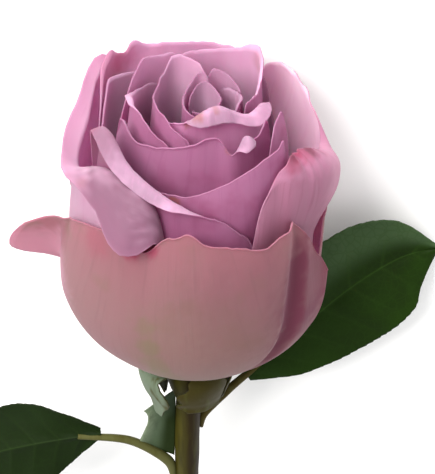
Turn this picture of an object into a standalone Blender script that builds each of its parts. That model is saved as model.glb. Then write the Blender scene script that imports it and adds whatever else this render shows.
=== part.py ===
# Cut rose, half open, laid on its back: separate petals on a hip, five sepals, stem and two leaves.
# Sizes are in millimetres in the flower frame: origin at the foot of the petals,
# +Z towards the tip of the bloom, -Y towards its front. Angles round the head are in
# degrees: 0 is the front, 90 the right, 180 the back and -90 the left.
import math

import bmesh
import bpy
from mathutils import Matrix, Vector

MM = 0.001
PETAL_THICK = 0.6
LEAF_THICK = 0.8

# The bloom leans to its right by HEAD_LEAN degrees. Laid down, the stem's foot end drops by
# LIE_PITCH degrees, the bloom's axis is REST_HEIGHT over the floor, and the row's origin is
# under FLAT_CENTRE. The flat that it lies on reaches FLAT_REACH to both sides of the height
# FLAT_MIDDLE, and past that the petal bows up by FLAT_BOW for each square millimetre. Points
# of its outer face that are less than FLAT_SNAP over the floor are laid on it.
HEAD_LEAN = 2.4
LIE_PITCH = 3.0
REST_HEIGHT = 25.2
FLAT_CENTRE = (1.5, 39.0)
FLAT_MIDDLE = 39.7
FLAT_REACH = 6.0
FLAT_BOW = 0.003
FLAT_SNAP = 0.03

# Nested cups that the petals follow, and how much closer they crowd below CROWD_HEIGHT.
FOOT_RADIUS = 9.0
BODY_RADIUS = 29.5
BODY_WIDEST = 30.0
CUP_FULLNESS = 2.8
MOUTH_HEIGHT = 40.0
MOUTH_CLOSING = 0.12
CROWD = 1.4
CROWD_HEIGHT = 20.0
RIM_HEIGHT = 70.0

# Dome of the hip, and how the claws of the petals sit on it.
DOME_RADIUS = 8.85
DOME_HEIGHT = 8.85
ROOT_GAP = 0.6
CLAW = 0.30
CLAW_END = 0.62
CLAW_TURN = 80.0
SEAT_END = 0.22
RISE_POWER = 1.5
OPENS_AT = 0.45
FOLD_WIDTH = 9.0
LIP_STEPS = 12

SEPAL_JAG = 0.10
STALK_RADII = (1.35, 1.2, 1.1, 1.05, 1.0, 0.95, 0.7)
STALK_SIDES = 8
STEM_SIDES = 12
HIP_SIDES = 16
LEAF_JAG = 0.015
LEAF_CURL = 0.10
LEAF_RIPPLE = 0.5


def remove_everything():
    for obj in list(bpy.data.objects):
        bpy.data.objects.remove(obj, do_unlink=True)


def smooth(value):
    value = min(1.0, max(0.0, value))
    return value * value * (3.0 - 2.0 * value)


def curve_through(rows, place):
    """Catmull-Rom value of every column at place, 0 at the first row and 1 at the last."""
    span = len(rows) - 1
    at = min(max(place, 0.0), 1.0) * span
    index = min(int(at), span - 1)
    f = at - index
    before = rows[max(index - 1, 0)]
    here = rows[index]
    after = rows[index + 1]
    beyond = rows[min(index + 2, span)]
    values = []
    for a, b, c, d in zip(before, here, after, beyond):
        bend = (2.0 * a - 5.0 * b + 4.0 * c - d) * f + (3.0 * b - 3.0 * c + d - a) * f * f
        values.append(b + 0.5 * f * (c - a + bend))
    return values


def shell_radius(level, z):
    """Radius of one of the nested cups that the petals follow; level 1 is the outermost."""
    if z < BODY_WIDEST:
        rise = 1.0 - (1.0 - max(z, 0.0) / BODY_WIDEST) ** CUP_FULLNESS
        radius = FOOT_RADIUS + (BODY_RADIUS - FOOT_RADIUS) * rise
    else:
        radius = BODY_RADIUS * (1.0 - MOUTH_CLOSING * ((z - BODY_WIDEST) / MOUTH_HEIGHT) ** 2)
    crowd = CROWD * max(0.0, 1.0 - z / CROWD_HEIGHT) ** 2
    return radius * level ** (1.0 + crowd)


def pressed(point):
    """Point moved up to the floor that the flower lies on, where it would go below it."""
    lean = math.radians(HEAD_LEAN)
    pitch = math.radians(LIE_PITCH)
    height = point.z * math.cos(lean) - point.x * math.sin(lean)
    bow = FLAT_BOW * max(0.0, abs(height - FLAT_MIDDLE) - FLAT_REACH) ** 2
    clear = REST_HEIGHT - PETAL_THICK / 2.0 - bow
    floor = (clear + height * math.sin(pitch)) / math.cos(pitch)
    return Vector((point.x, min(point.y, floor), point.z))


def petal_point(petal, s, t):
    """Point of a petal: s runs -1 to 1 across it, t 0 to 1 from claw to free edge."""
    rows = petal["rim"]
    theta, crest_z, place, lip, turn = curve_through(rows, (s + 1.0) / 2.0)
    level = petal["level"]
    claw_level = level
    flare = place
    if not level:
        level = place / shell_radius(1.0, RIM_HEIGHT)
        claw_level = rows[len(rows) // 2][2] / shell_radius(1.0, RIM_HEIGHT)
        flare = 0.0
    centre = (rows[0][0] + rows[-1][0]) / 2.0
    lip_share = petal["lip_share"]
    opens_at = petal.get("opens_at", OPENS_AT)
    claw = petal.get("claw", CLAW)
    u = min(t / (1.0 - lip_share), 1.0)
    root_turn = math.radians(CLAW_TURN * petal.get("root", claw_level))
    root_r = (DOME_RADIUS + ROOT_GAP) * math.sin(root_turn)
    root_z = (DOME_HEIGHT + ROOT_GAP) * math.cos(root_turn)

    def body(u):
        z = root_z + (crest_z - root_z) * u ** RISE_POWER
        seat = 1.0 - max(0.0, 1.0 - u / SEAT_END) ** 3
        radius = root_r + (shell_radius(level, z) - root_r) * seat
        return radius + flare * smooth((u - opens_at) / (1.0 - opens_at)), z

    radius, z = body(u)
    if t > 1.0 - lip_share and lip > 0.0:
        below_r, below_z = body(0.985)
        angle = math.atan2(radius - below_r, z - below_z)
        reach = lip * (t - (1.0 - lip_share)) / lip_share
        step = reach / LIP_STEPS
        for i in range(LIP_STEPS):
            done = min(1.0, (i + 0.5) * step / (lip * petal["tight"]))
            radius += step * math.sin(angle + math.radians(turn) * done)
            z += step * math.cos(angle + math.radians(turn) * done)
    if "fold" in petal:
        valley, dip, lift, end = petal["fold"]
        radius -= dip * smooth(1.0 - abs(theta - valley) / FOLD_WIDTH) * smooth((u - 0.2) / 0.3)
        radius += lift * smooth((theta - valley) / (end - valley)) * smooth(u / 0.25)
    if "swell" in petal:
        middle, half, most = petal["swell"]
        beside = smooth(1.0 - abs(theta - middle) / half)
        radius += most * beside * math.sin(math.pi * u ** 0.8)
    width = claw + (1.0 - claw) * math.sin(math.pi / 2.0 * min(1.0, u / CLAW_END))
    theta = math.radians(centre + (theta - centre) * width)
    point = Vector((radius * math.sin(theta), -radius * math.cos(theta), z))
    return pressed(point) if petal.get("on_floor") else point


# Each petal: its cup, 1 being the outermost, cells across and along, the share of its length
# that rolls outwards, how soon the roll is done, and its rim from one side to the other as
# angle, height, how far it opens past its cup, then length and turn of the rolled edge, where
# a negative turn rolls it inwards.
# A petal with no cup of its own gives its radius there instead, and winds in as a spiral.
# fold is a valley near one side: its angle, its depth, how far the edge beyond stands out and
# that edge's angle. swell is the angle, half width and height of a bulge. root is the cup that
# the claw sits on.
PETALS = {
    "petal_guard_front": dict(level=1.0, cells=(26, 8), lip_share=0.14, tight=0.5,
                              claw=0.5, root=1.06, fold=(48.0, 2.2, 1.2, 72.0),
                              swell=(-84.0, 48.0, 1.3), rim=[
        (-106, 15, 0, 0, 0), (-100, 20, 0, 0.5, 20), (-95, 23, 0, 4.5, 80),
        (-90, 25.5, 0.5, 14.5, 94), (-84, 31.5, 0.8, 13, 88), (-76, 38.5, 1.4, 6.5, 66),
        (-66, 44.5, 2.0, 1.5, 45), (-56, 47.5, 2.3, 1, 30), (-46, 49, 2.4, 1, 25),
        (-38, 49.5, 2.4, 1, 25), (-32, 48.5, 2.0, 1, 25), (-26, 46.8, 1.5, 1, 25),
        (-20, 47.5, 1.3, 1, 25), (-14, 51.5, 1.6, 1, 25), (-9, 52, 1.6, 1, 25),
        (-4, 53.5, 1.7, 1, 25), (2, 51.5, 1.6, 1, 25), (10, 50, 1.4, 1, 25),
        (20, 49, 1.3, 1, 25), (30, 48, 1.2, 1, 25), (37, 49.5, 1.4, 1.2, 25),
        (44, 50.5, 1.4, 1.5, 25), (52, 47.5, 0.8, 1, 25), (58, 43, -0.2, 0.8, 20),
        (63, 39, -0.8, 0.8, 20), (68, 35.5, -0.6, 0.8, 20), (72, 31.5, 0.3, 0.5, 20)]),
    "petal_guard_back": dict(level=0.95, cells=(18, 8), lip_share=0.16, tight=0.8,
                             on_floor=True, rim=[
        (76, 27, 0.1, 0.6, 20), (82, 33.5, 0.1, 0.8, 20), (90, 38.5, 0.7, 1.4, 40),
        (100, 42.5, 1.0, 2.4, 50), (112, 45.5, 0.7, 2.5, 50), (124, 47.5, 1.0, 2.5, 50),
        (136, 49.8, 1.2, 3, 50), (148, 51.3, 1.2, 3, 50), (159, 52.2, 1.1, 3, 50),
        (169, 51.6, 0.9, 2.6, 40), (178, 51.8, 0.8, 2.5, 40), (187, 52.4, 0.9, 2.6, 40),
        (196, 52.8, 1.1, 3, 50), (206, 52.2, 1.2, 3, 50), (218, 50, 1.6, 2.5, 50),
        (230, 45.8, 1.3, 2, 45), (239, 39.5, 0.4, 1, 30), (246, 33, 0.2, 0.5, 10),
        (252, 24, 0, 0, 0)]),
    "petal_side_low": dict(level=0.955, cells=(10, 7), lip_share=0.14, tight=0.8, root=0.98,
                           rim=[
        (-102, 27, 0, 0, 0), (-98, 35, 0, 0.5, 10), (-93, 42, 0.2, 1, 30),
        (-85, 47.5, 0.8, 1.5, 40), (-76, 51, 1.4, 1.5, 50), (-66, 53.5, 2.0, 1.5, 50),
        (-56, 54.5, 2.4, 1.5, 50), (-47, 54.2, 2.4, 1.5, 50), (-41, 53.5, 2.3, 1, 50),
        (-38, 49, 1.7, 0.8, 20), (-36, 40, 0.8, 0, 0)]),
    "petal_side_left": dict(level=0.90, cells=(19, 12), lip_share=0.34, tight=0.3,
                            opens_at=0.72, rim=[
        (-12, 28, 0, 0.5, 20), (-15, 44, 0.2, 1, 60), (-18, 52, 0.4, 4.5, 125),
        (-22, 56, 0.4, 12, 152), (-27, 57.8, 0.4, 16.5, 152), (-32, 58.6, 0.4, 16.8, 152),
        (-38, 59.6, 0.4, 14, 152), (-45, 60.3, 0.5, 11, 150), (-53, 60, 0.7, 9, 140),
        (-61, 58.4, 0.9, 7.4, 122), (-69, 56, 1.1, 6.4, 98), (-78, 53.5, 1.3, 5.8, 74),
        (-88, 52, 1.5, 5.4, 58), (-99, 53, 1.7, 5.6, 52), (-109, 55.5, 1.8, 5.6, 48),
        (-117, 59, 2.9, 5, 42), (-125, 63, 4.6, 4.4, 38), (-132, 65.3, 4.9, 3.2, 30),
        (-139, 63, 4.2, 1.8, 20), (-147, 50, 1.2, 0.5, 10)]),
    "petal_side_right": dict(level=0.90, cells=(20, 10), lip_share=0.24, tight=0.8,
                             opens_at=0.74, rim=[
        (24, 32, 0, 0, 0), (27, 46, 0.2, 0.3, 10), (30, 54, 0.5, 0.4, 10),
        (34, 58.5, 0.8, 0.6, 0), (40, 60.8, 1.2, 2, -10), (45, 61, 2.5, 4.4, -20),
        (50, 60.2, 3.2, 6.4, -36), (56, 59.2, 3.5, 8, -52), (62, 58.6, 4.2, 8.6, -56),
        (68, 57.8, 4.9, 8.6, -60), (75, 56.6, 5.5, 8.2, -66), (82, 55.2, 5.9, 7.6, -72),
        (88, 54.6, 5.7, 6.6, -74), (93, 57.2, 3.8, 4.4, -50), (98, 62.4, 1.6, 2, -15),
        (105, 65, 0.9, 1, 20), (117, 67, 1.1, 1, 30), (128, 67.8, 1.6, 1, 30),
        (139, 67.3, 1.8, 1, 30), (149, 63, 1.3, 0.8, 20), (158, 46, 0.4, 0.5, 10)]),
    "petal_back_outer": dict(level=0.845, cells=(15, 7), lip_share=0.12, tight=0.8,
                             opens_at=0.70, rim=[
        (134, 48, 0, 0, 0), (142, 61, 1.2, 0.5, 20), (152, 66, 2.2, 1, 30),
        (163, 67.5, 3.2, 1, 30), (175, 67.8, 3.6, 1, 30), (188, 68, 3.7, 1, 30),
        (200, 68.3, 3.7, 1, 30), (210, 68.8, 3.8, 1, 30), (217, 70.1, 3.9, 1.5, 30),
        (222, 68.4, 3.5, 1, 30), (228, 69.5, 3.4, 1, 30), (233, 70.3, 3.5, 1.5, 35),
        (238, 68, 3.3, 2, 45), (242, 64.5, 2.6, 1.8, 45), (246, 57, 1.2, 0.8, 20),
        (250, 46, 0, 0, 0)]),
    "petal_front_rolled": dict(level=0.84, cells=(17, 10), lip_share=0.22, tight=0.6, rim=[
        (-76, 40, 0, 0.5, 20), (-72, 54, 0.2, 1.5, 60), (-66, 65.5, 0.9, 4, 100),
        (-58, 67.5, 1.3, 5.4, 122), (-49, 66, 1.3, 6, 136), (-39, 62.7, 1.2, 5.6, 140),
        (-29, 60.7, 1.1, 5.2, 140), (-20, 59, 1.1, 4.8, 135), (-12, 57.4, 1.2, 4, 120),
        (-4, 56, 1.3, 2.4, 95), (4, 54.8, 1.4, 1.2, 50), (12, 53.2, 1.4, 0.8, 20),
        (20, 50, 0.9, 0.8, 20), (28, 46, 0.3, 0.8, 20), (34, 34, 0, 0.5, 20)]),
    "petal_left_mid": dict(level=0.775, cells=(10, 7), lip_share=0.12, tight=0.8,
                           opens_at=0.65, root=0.75, rim=[
        (-84, 40, 0, 0, 0), (-93, 51, 0.5, 0.5, 20), (-102, 57.5, 1.0, 0.5, 20),
        (-110, 62, 1.8, 0.8, 30), (-116, 66, 2.6, 1, 40), (-124, 66, 2.6, 1, 40),
        (-133, 65.5, 2.0, 0.8, 30), (-143, 65.5, 1.7, 0.5, 20), (-153, 64.5, 1.4, 0.5, 20),
        (-162, 59, 0.8, 0.5, 20), (-169, 46, 0, 0, 0)]),
    "petal_front_deep": dict(level=0.765, cells=(14, 7), lip_share=0.10, tight=0.8,
                             opens_at=0.62, rim=[
        (-78, 40, 0, 0, 0), (-68, 54, 0, 0.3, 10), (-56, 59.5, 0, 0.5, 20),
        (-42, 59, -0.1, 0.5, 20), (-28, 57.5, -0.1, 0.5, 20), (-17, 57.5, 0.2, 0.5, 20),
        (-6, 58, 0.7, 0.5, 20), (5, 60, 1.5, 0.6, 20), (15, 62.3, 2.4, 0.6, 20),
        (25, 64.7, 3.2, 0.6, 20), (35, 66.7, 3.7, 0.8, 20), (43, 67.8, 3.9, 0.8, 20),
        (47, 69.5, 4.1, 0.5, 20), (51, 62, 2.9, 0.3, 10), (56, 44, 0, 0, 0)]),
    "petal_right_curl": dict(level=0.71, cells=(8, 7), lip_share=0.12, tight=0.7, rim=[
        (40, 42, 0, 0, 0), (44, 57, 0.6, 0.3, 10), (48, 65, 1.1, 0.4, 20),
        (52, 69, 1.1, 0.6, 30), (57, 71.2, 0.9, 0.6, 30), (63, 72, 0.7, 0.6, 30),
        (68, 70, 0.6, 0.4, 20), (74, 63, 0.4, 0.3, 10), (80, 48, 0.2, 0, 0)]),
    "petal_back_right": dict(level=None, cells=(14, 7), lip_share=0.12, tight=0.8, rim=[
        (63, 50, 9.9, 0, 0), (67, 64, 9.9, 0.3, 10), (72, 69.5, 10.0, 0.4, 20),
        (80, 70.5, 10.4, 0.5, 30), (92, 69.8, 11.1, 1, 50), (105, 69.8, 12.3, 1.2, 60),
        (118, 70.5, 14.3, 1.5, 60), (132, 72, 17.3, 1.8, 60), (145, 72.5, 20.2, 2, 50),
        (157, 71, 20.4, 1, 30), (170, 70, 20.0, 1, 30), (182, 69.5, 19.4, 1, 30),
        (194, 69, 18.8, 0.8, 30), (204, 64, 18.7, 0.5, 20), (212, 48, 18.7, 0, 0)]),
    "petal_back_left": dict(level=None, cells=(9, 7), lip_share=0.10, tight=0.8, rim=[
        (-90, 48, 17.4, 0, 0), (-100, 59, 17.4, 0.3, 10), (-109, 65.5, 17.2, 0.5, 20),
        (-118, 70.5, 17.1, 0.5, 20), (-126, 72.6, 17.2, 0.6, 20), (-136, 72.3, 17.3, 0.6, 20),
        (-148, 71.4, 17.3, 0.6, 20), (-159, 70.7, 17.2, 0.5, 20), (-166, 65, 17.1, 0.3, 10),
        (-172, 50, 17.1, 0, 0)]),
    "petal_front_folded": dict(level=None, cells=(20, 7), lip_share=0.14, tight=0.8, rim=[
        (-86, 50, 17.5, 0, 0), (-77, 62, 18.0, 0.5, 20), (-68, 67.3, 18.0, 1.5, 60),
        (-60, 65.6, 17.4, 1.2, 50), (-52, 64.2, 17.0, 1, 40), (-42, 64.4, 16.5, 1, 30),
        (-31, 65, 16.0, 1, 30), (-20, 65.6, 15.5, 1.2, 40), (-8, 66.4, 15.0, 1.5, 50),
        (2, 67.8, 15.0, 2, 60), (10, 68.3, 15.0, 2, 60), (15, 67.6, 15.3, 1.2, 40),
        (19, 66.2, 15.8, 0.6, 20), (23, 65, 16.2, 0.6, 20), (26, 65.2, 16.3, 1.4, 60),
        (29, 66.2, 16.2, 4.2, 130), (33, 67.8, 16.0, 5.8, 148), (37, 67.6, 16.0, 4.4, 140),
        (41, 66.8, 16.0, 1.4, 60), (48, 67.2, 16.0, 0.8, 30), (54, 68.6, 16.1, 1, 40),
        (58, 69.6, 16.2, 0.8, 30), (62, 66.5, 16.3, 0.5, 20), (67, 50, 16.3, 0, 0)]),
    "petal_left_pale": dict(level=None, cells=(12, 7), lip_share=0.14, tight=0.7, rim=[
        (-16, 46, 13.0, 0, 0), (-24, 59, 13.0, 0.3, 10), (-32, 64, 13.1, 0.5, 20),
        (-43, 65.5, 13.6, 0.6, 20), (-54, 67.4, 14.3, 0.7, 30), (-64, 68.6, 14.7, 1, 50),
        (-76, 69, 15.0, 1.6, 85), (-88, 69.1, 15.4, 2.2, 100), (-97, 68.2, 15.4, 1.4, 80),
        (-108, 67.4, 15.3, 0.8, 40), (-122, 66.9, 15.0, 0.5, 20), (-136, 66.3, 14.9, 0.5, 20),
        (-147, 61, 15.3, 0.3, 10), (-155, 46, 15.8, 0, 0)]),
    "petal_left_inner": dict(level=None, cells=(16, 7), lip_share=0.10, tight=0.7, rim=[
        (0, 46, 11.4, 0, 0), (-6, 59, 11.4, 0.3, 10), (-13, 65, 11.5, 0.5, 20),
        (-24, 66.4, 11.5, 0.6, 20), (-36, 67.8, 11.3, 0.6, 20), (-50, 69.2, 11.0, 0.7, 30),
        (-68, 69.4, 10.6, 0.7, 30), (-88, 68.8, 10.5, 0.6, 30), (-108, 67.8, 11.0, 0.5, 20),
        (-124, 67.6, 12.0, 0.5, 20), (-138, 69, 13.2, 0.6, 20), (-149, 71.8, 13.9, 0.8, 30),
        (-158, 72.6, 13.9, 0.8, 30), (-169, 71.6, 12.8, 0.6, 20), (-179, 70.5, 11.8, 0.5, 20),
        (-187, 64, 11.2, 0.3, 10), (-193, 48, 11.0, 0, 0)]),
    "petal_front_inner": dict(level=None, cells=(16, 12), lip_share=0.20, tight=0.6,
                              root=0.30, rim=[
        (-88, 48, 8.4, 0, 0), (-76, 60, 8.6, 0.3, 10), (-60, 65.6, 8.8, 0.4, 20),
        (-42, 67, 8.8, 0.6, 30), (-26, 67.8, 8.5, 1.2, 60), (-14, 68.8, 7.7, 3, 120),
        (-2, 69.8, 7.0, 5.2, 148), (12, 70.6, 6.7, 6, 152), (27, 71, 6.9, 6, 152),
        (41, 70.2, 8.0, 5.4, 150), (53, 69, 9.6, 5.2, 148), (63, 68.6, 11.0, 5.4, 142),
        (73, 69.2, 12.0, 4.8, 120), (84, 68.8, 12.5, 3, 80), (95, 66, 13.0, 1, 30),
        (104, 60, 13.7, 0.5, 10), (111, 48, 14.4, 0, 0)]),
    "petal_back_inner": dict(level=None, cells=(8, 6), lip_share=0.10, tight=0.7, rim=[
        (185, 50, 9.4, 0, 0), (178, 65, 9.5, 0.3, 10), (170, 70.5, 9.7, 0.5, 20),
        (160, 71.5, 9.8, 0.5, 20), (149, 71, 9.8, 0.5, 20), (137, 70, 9.7, 0.5, 20),
        (124, 68.5, 9.7, 0.5, 20), (112, 64, 9.7, 0.3, 10), (103, 50, 9.7, 0, 0)]),
    "petal_right_inner": dict(level=None, cells=(10, 6), lip_share=0.14, tight=0.6, rim=[
        (166, 50, 7.4, 0, 0), (157, 64, 7.4, 0.3, 10), (147, 67.8, 7.8, 0.5, 20),
        (135, 68.6, 8.2, 0.6, 30), (120, 68.8, 8.4, 0.8, 40), (105, 69.1, 8.4, 0.8, 40),
        (90, 70, 8.3, 1, 50), (76, 70.2, 8.2, 1, 60), (65, 69, 7.8, 0.8, 40),
        (56, 62, 7.2, 0.3, 10), (49, 48, 6.8, 0, 0)]),
    "petal_heart_left": dict(level=None, cells=(12, 6), lip_share=0.14, tight=0.7,
                             root=0.193, rim=[
        (12, 50, 4.8, 0, 0), (0, 64, 4.8, 0.3, 20), (-16, 67.2, 4.8, 0.6, 40),
        (-34, 67.8, 4.6, 0.8, 60), (-56, 68.4, 4.3, 0.8, 60), (-80, 68.8, 4.1, 0.6, 40),
        (-108, 69.2, 4.2, 0.5, 30), (-136, 70, 4.7, 0.4, 20), (-158, 71.3, 5.5, 0.4, 20),
        (-174, 72.4, 6.3, 0.4, 20), (-188, 71.8, 6.2, 0.4, 20), (-198, 65, 6.0, 0.2, 10),
        (-206, 50, 5.8, 0, 0)]),
    "petal_heart_right": dict(level=None, cells=(13, 6), lip_share=0.10, tight=0.7,
                              root=0.162, rim=[
        (282, 50, 2.9, 0, 0), (270, 61, 2.9, 0.1, 10), (252, 66.2, 3.0, 0.2, 10),
        (230, 68.4, 3.3, 0.2, 10), (208, 69.8, 3.8, 0.3, 20), (190, 70.8, 4.5, 0.3, 20),
        (172, 71.2, 4.7, 0.3, 20), (152, 70.6, 4.4, 0.3, 20), (130, 70, 4.1, 0.4, 20),
        (108, 69.6, 4.0, 0.4, 20), (86, 69.3, 3.9, 0.5, 30), (64, 67, 3.6, 0.3, 20),
        (48, 58, 3.3, 0, 0)]),
    "petal_heart_core": dict(level=None, cells=(8, 5), lip_share=0.10, tight=0.7, rim=[
        (-170, 50, 1.8, 0, 0), (-140, 64, 1.8, 0.2, 20), (-100, 66, 1.9, 0.3, 20),
        (-60, 66.5, 1.9, 0.3, 20), (-20, 67, 2.0, 0.3, 20), (20, 67, 2.0, 0.3, 20),
        (60, 66, 1.9, 0.2, 20), (95, 62, 1.8, 0.2, 10), (115, 50, 1.7, 0, 0)]),
}


COLOURS = {
    "outer_petal": (0.62, 0.30, 0.36, 1.0),
    "inner_petal": (0.60, 0.24, 0.44, 1.0),
    "stem_green": (0.075, 0.080, 0.022, 1.0),
    "leaf_green": (0.030, 0.075, 0.014, 1.0),
}


def material(name, roughness):
    made = bpy.data.materials.get(name) or bpy.data.materials.new(name)
    made.use_nodes = True
    shader = made.node_tree.nodes["Principled BSDF"]
    shader.inputs["Base Color"].default_value = COLOURS[name]
    shader.inputs["Roughness"].default_value = roughness
    shader.inputs["Metallic"].default_value = 0.0
    return made


def empty(name, parent, matrix):
    holder = bpy.data.objects.new(name, None)
    bpy.context.scene.collection.objects.link(holder)
    holder.parent = parent
    holder.matrix_local = matrix
    return holder


def add_object(name, bm, finish, parent):
    mesh = bpy.data.meshes.new(name)
    bm.to_mesh(mesh)
    bm.free()
    mesh.materials.append(finish)
    mesh.shade_smooth()
    obj = bpy.data.objects.new(name, mesh)
    bpy.context.scene.collection.objects.link(obj)
    obj.parent = parent
    return obj


def blade(name, cells, place, thickness, finish, parent):
    """Thin closed sheet: a grid moved point by point, split alike on both faces by Solidify."""
    bm = bmesh.new()
    bmesh.ops.create_grid(bm, x_segments=cells[0], y_segments=cells[1], size=1.0)
    for vert in bm.verts:
        vert.co = place(vert.co.x, (vert.co.y + 1.0) / 2.0) * MM
    bmesh.ops.triangulate(bm, faces=bm.faces, quad_method="FIXED")
    obj = add_object(name, bm, finish, parent)
    solid = obj.modifiers.new("thickness", "SOLIDIFY")
    solid.thickness = thickness * MM
    solid.offset = 0.0
    return obj


def turned(name, profile, sides, finish, parent):
    """Closed body of revolution about Z from a profile of radius and height, pole to pole."""
    bm = bmesh.new()
    last = None
    for radius, z in profile:
        vert = bm.verts.new((radius * MM, 0.0, z * MM))
        if last:
            bm.edges.new((last, vert))
        last = vert
    bmesh.ops.spin(bm, geom=bm.verts[:] + bm.edges[:], cent=(0, 0, 0), axis=(0, 0, 1),
                   angle=2.0 * math.pi, steps=sides, use_merge=True)
    bmesh.ops.remove_doubles(bm, verts=bm.verts, dist=0.00001)
    bmesh.ops.recalc_face_normals(bm, faces=bm.faces)
    return add_object(name, bm, finish, parent)


def rod(name, points, radii, sides, finish, parent):
    """Round rod through the points, closed by a flat cap at each end."""
    bm = bmesh.new()
    rings = []
    for i, place in enumerate(points):
        ahead = Vector(points[min(i + 1, len(points) - 1)]) - Vector(points[max(i - 1, 0)])
        facing = Vector((0.0, 0.0, -1.0)).rotation_difference(ahead).to_matrix().to_4x4()
        made = bmesh.ops.create_circle(bm, segments=sides, radius=radii[i] * MM,
                                       matrix=Matrix.Translation(Vector(place) * MM) @ facing)
        rings.append(made["verts"])
    for here, there in zip(rings, rings[1:]):
        loops = [e for e in bm.edges if set(e.verts) <= set(here) or set(e.verts) <= set(there)]
        bmesh.ops.bridge_loops(bm, edges=loops)
    bmesh.ops.contextual_create(bm, geom=rings[0])
    bmesh.ops.contextual_create(bm, geom=rings[-1])
    bmesh.ops.recalc_face_normals(bm, faces=bm.faces)
    return add_object(name, bm, finish, parent)


# Stem centre line from under the hip to the cut end: x, y, z and radius.
STEM_LINE = [
    (-0.6, 0.0, -14.9, 3.05), (-0.9, 0.3, -22.0, 3.0), (-1.1, 1.2, -32.0, 2.95),
    (-1.3, 3.2, -45.0, 2.9), (-1.4, 6.6, -60.0, 2.9), (-1.3, 10.7, -75.0, 2.9),
    (-1.0, 14.1, -88.0, 2.9), (-0.6, 16.1, -100.0, 2.9), (0.0, 16.3, -112.0, 2.9),
    (0.6, 15.87, -122.0, 2.95)]

HIP_PROFILE = [
    (0.0, -14.4), (3.0, -14.4), (3.4, -12.5), (4.6, -10.0), (5.6, -7.0), (5.9, -4.5),
    (6.4, -2.6), (8.0, -1.0)]


def hip_profile():
    dome = [(DOME_RADIUS * math.cos(math.radians(a)), DOME_HEIGHT * math.sin(math.radians(a)))
            for a in (0, 15, 30, 45, 60, 75)]
    return HIP_PROFILE + dome + [(0.0, DOME_HEIGHT)]


# Each sepal: the angle it stands at and its midline from root to tip: radius, height, half width.
SEPALS = {
    "sepal_1": dict(angle=27.0, teeth=3.0, rib=[
        (7.7, -2.4, 3.6), (9.0, -4.2, 5.4), (8.6, -7.5, 6.5), (7.8, -11.0, 6.3),
        (7.0, -14.5, 3.6), (6.6, -17.0, 0.6)]),
    "sepal_2": dict(angle=-68.0, teeth=2.0, rib=[
        (7.7, -2.4, 3.2), (10.8, -1.8, 4.6), (12.3, -3.4, 5.2), (11.2, -7.5, 4.8),
        (9.4, -11.5, 3.2), (8.2, -15.5, 0.6)]),
    "sepal_3": dict(angle=102.0, teeth=2.0, rib=[
        (7.7, -2.4, 3.4), (9.6, -3.2, 4.4), (9.8, -6.0, 4.8), (8.6, -9.5, 4.0),
        (7.6, -13.0, 2.2), (7.0, -16.0, 0.5)]),
    "sepal_4": dict(angle=168.0, teeth=3.0, rib=[
        (7.7, -2.4, 3.4), (9.8, -2.8, 4.6), (10.4, -5.0, 5.0), (9.4, -9.0, 4.2),
        (8.2, -13.0, 2.4), (7.4, -17.0, 0.5)]),
    "sepal_5": dict(angle=-132.0, teeth=2.0, rib=[
        (7.7, -2.4, 3.4), (9.6, -2.6, 4.4), (10.6, -4.6, 4.8), (9.8, -8.5, 4.0),
        (8.4, -12.5, 2.2), (7.6, -16.0, 0.5)]),
}


def sepal_point(sepal, s, t):
    """Point of a sepal turned down over the hip; it wraps round the stem's axis."""
    radius, z, half = curve_through(sepal["rib"], t)
    half *= 1.0 + SEPAL_JAG * math.sin(t * sepal["teeth"] * 2.0 * math.pi) * abs(s)
    angle = math.radians(sepal["angle"]) + s * half / radius
    return Vector((radius * math.sin(angle), -radius * math.cos(angle), z))


# Leaves: midrib points x, y, z and half width at each; side is the way the blade spreads there.
LEAVES = {
    "leaf_right": dict(cells=(8, 16), fold=0.22, teeth=13, rib=[
        (13.0, 6.2, -11.5, 2.0), (21.5, 9.8, -6.0, 8.5), (30.0, 13.8, 0.8, 13.2),
        (39.0, 16.0, 8.0, 14.5), (49.5, 19.0, 13.5, 11.5), (58.5, 20.5, 15.5, 0.7)],
        stalk=[(2.7, 1.6, -19.5), (6.5, 3.2, -16.5), (10.0, 4.9, -13.8), (17.0, 7.9, -8.9)],
        side=(-0.55, 0.10, 0.83)),
    "leaf_left": dict(cells=(8, 16), fold=0.20, teeth=13, rib=[
        (-21.5, -3.4, -22.0, 1.0), (-28.0, -3.8, -22.8, 6.0), (-36.0, -3.2, -25.0, 10.0),
        (-44.5, -1.0, -29.0, 10.5), (-52.5, 3.0, -35.0, 7.5), (-59.0, 8.0, -42.0, 0.7)],
        stalk=[(-4.9, 0.7, -34.0), (-9.5, -1.0, -29.0), (-16.0, -2.5, -24.4), (-27.0, -3.8, -22.5)],
        side=(0.15, 0.10, 0.98)),
}

# Stipule along the left leaf's stalk: outer edge and inner edge, top to bottom, x, y, z.
STIPULE = [
    ((-10.6, -1.4, -14.6), (-5.0, -0.6, -15.0)), ((-9.9, -1.5, -17.0), (-4.9, -0.6, -19.0)),
    ((-10.4, -1.5, -21.0), (-4.9, -0.5, -24.0)), ((-12.6, -1.9, -26.6), (-5.0, 0.2, -31.5))]


def stipule_point(s, t):
    outer = curve_through([row[0] for row in STIPULE], 1.0 - t)
    inner = curve_through([row[1] for row in STIPULE], 1.0 - t)
    share = (s + 1.0) / 2.0
    return Vector(outer).lerp(Vector(inner), share) + Vector((0.0, 0.9 * share * (1.0 - share), 0.0))


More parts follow.
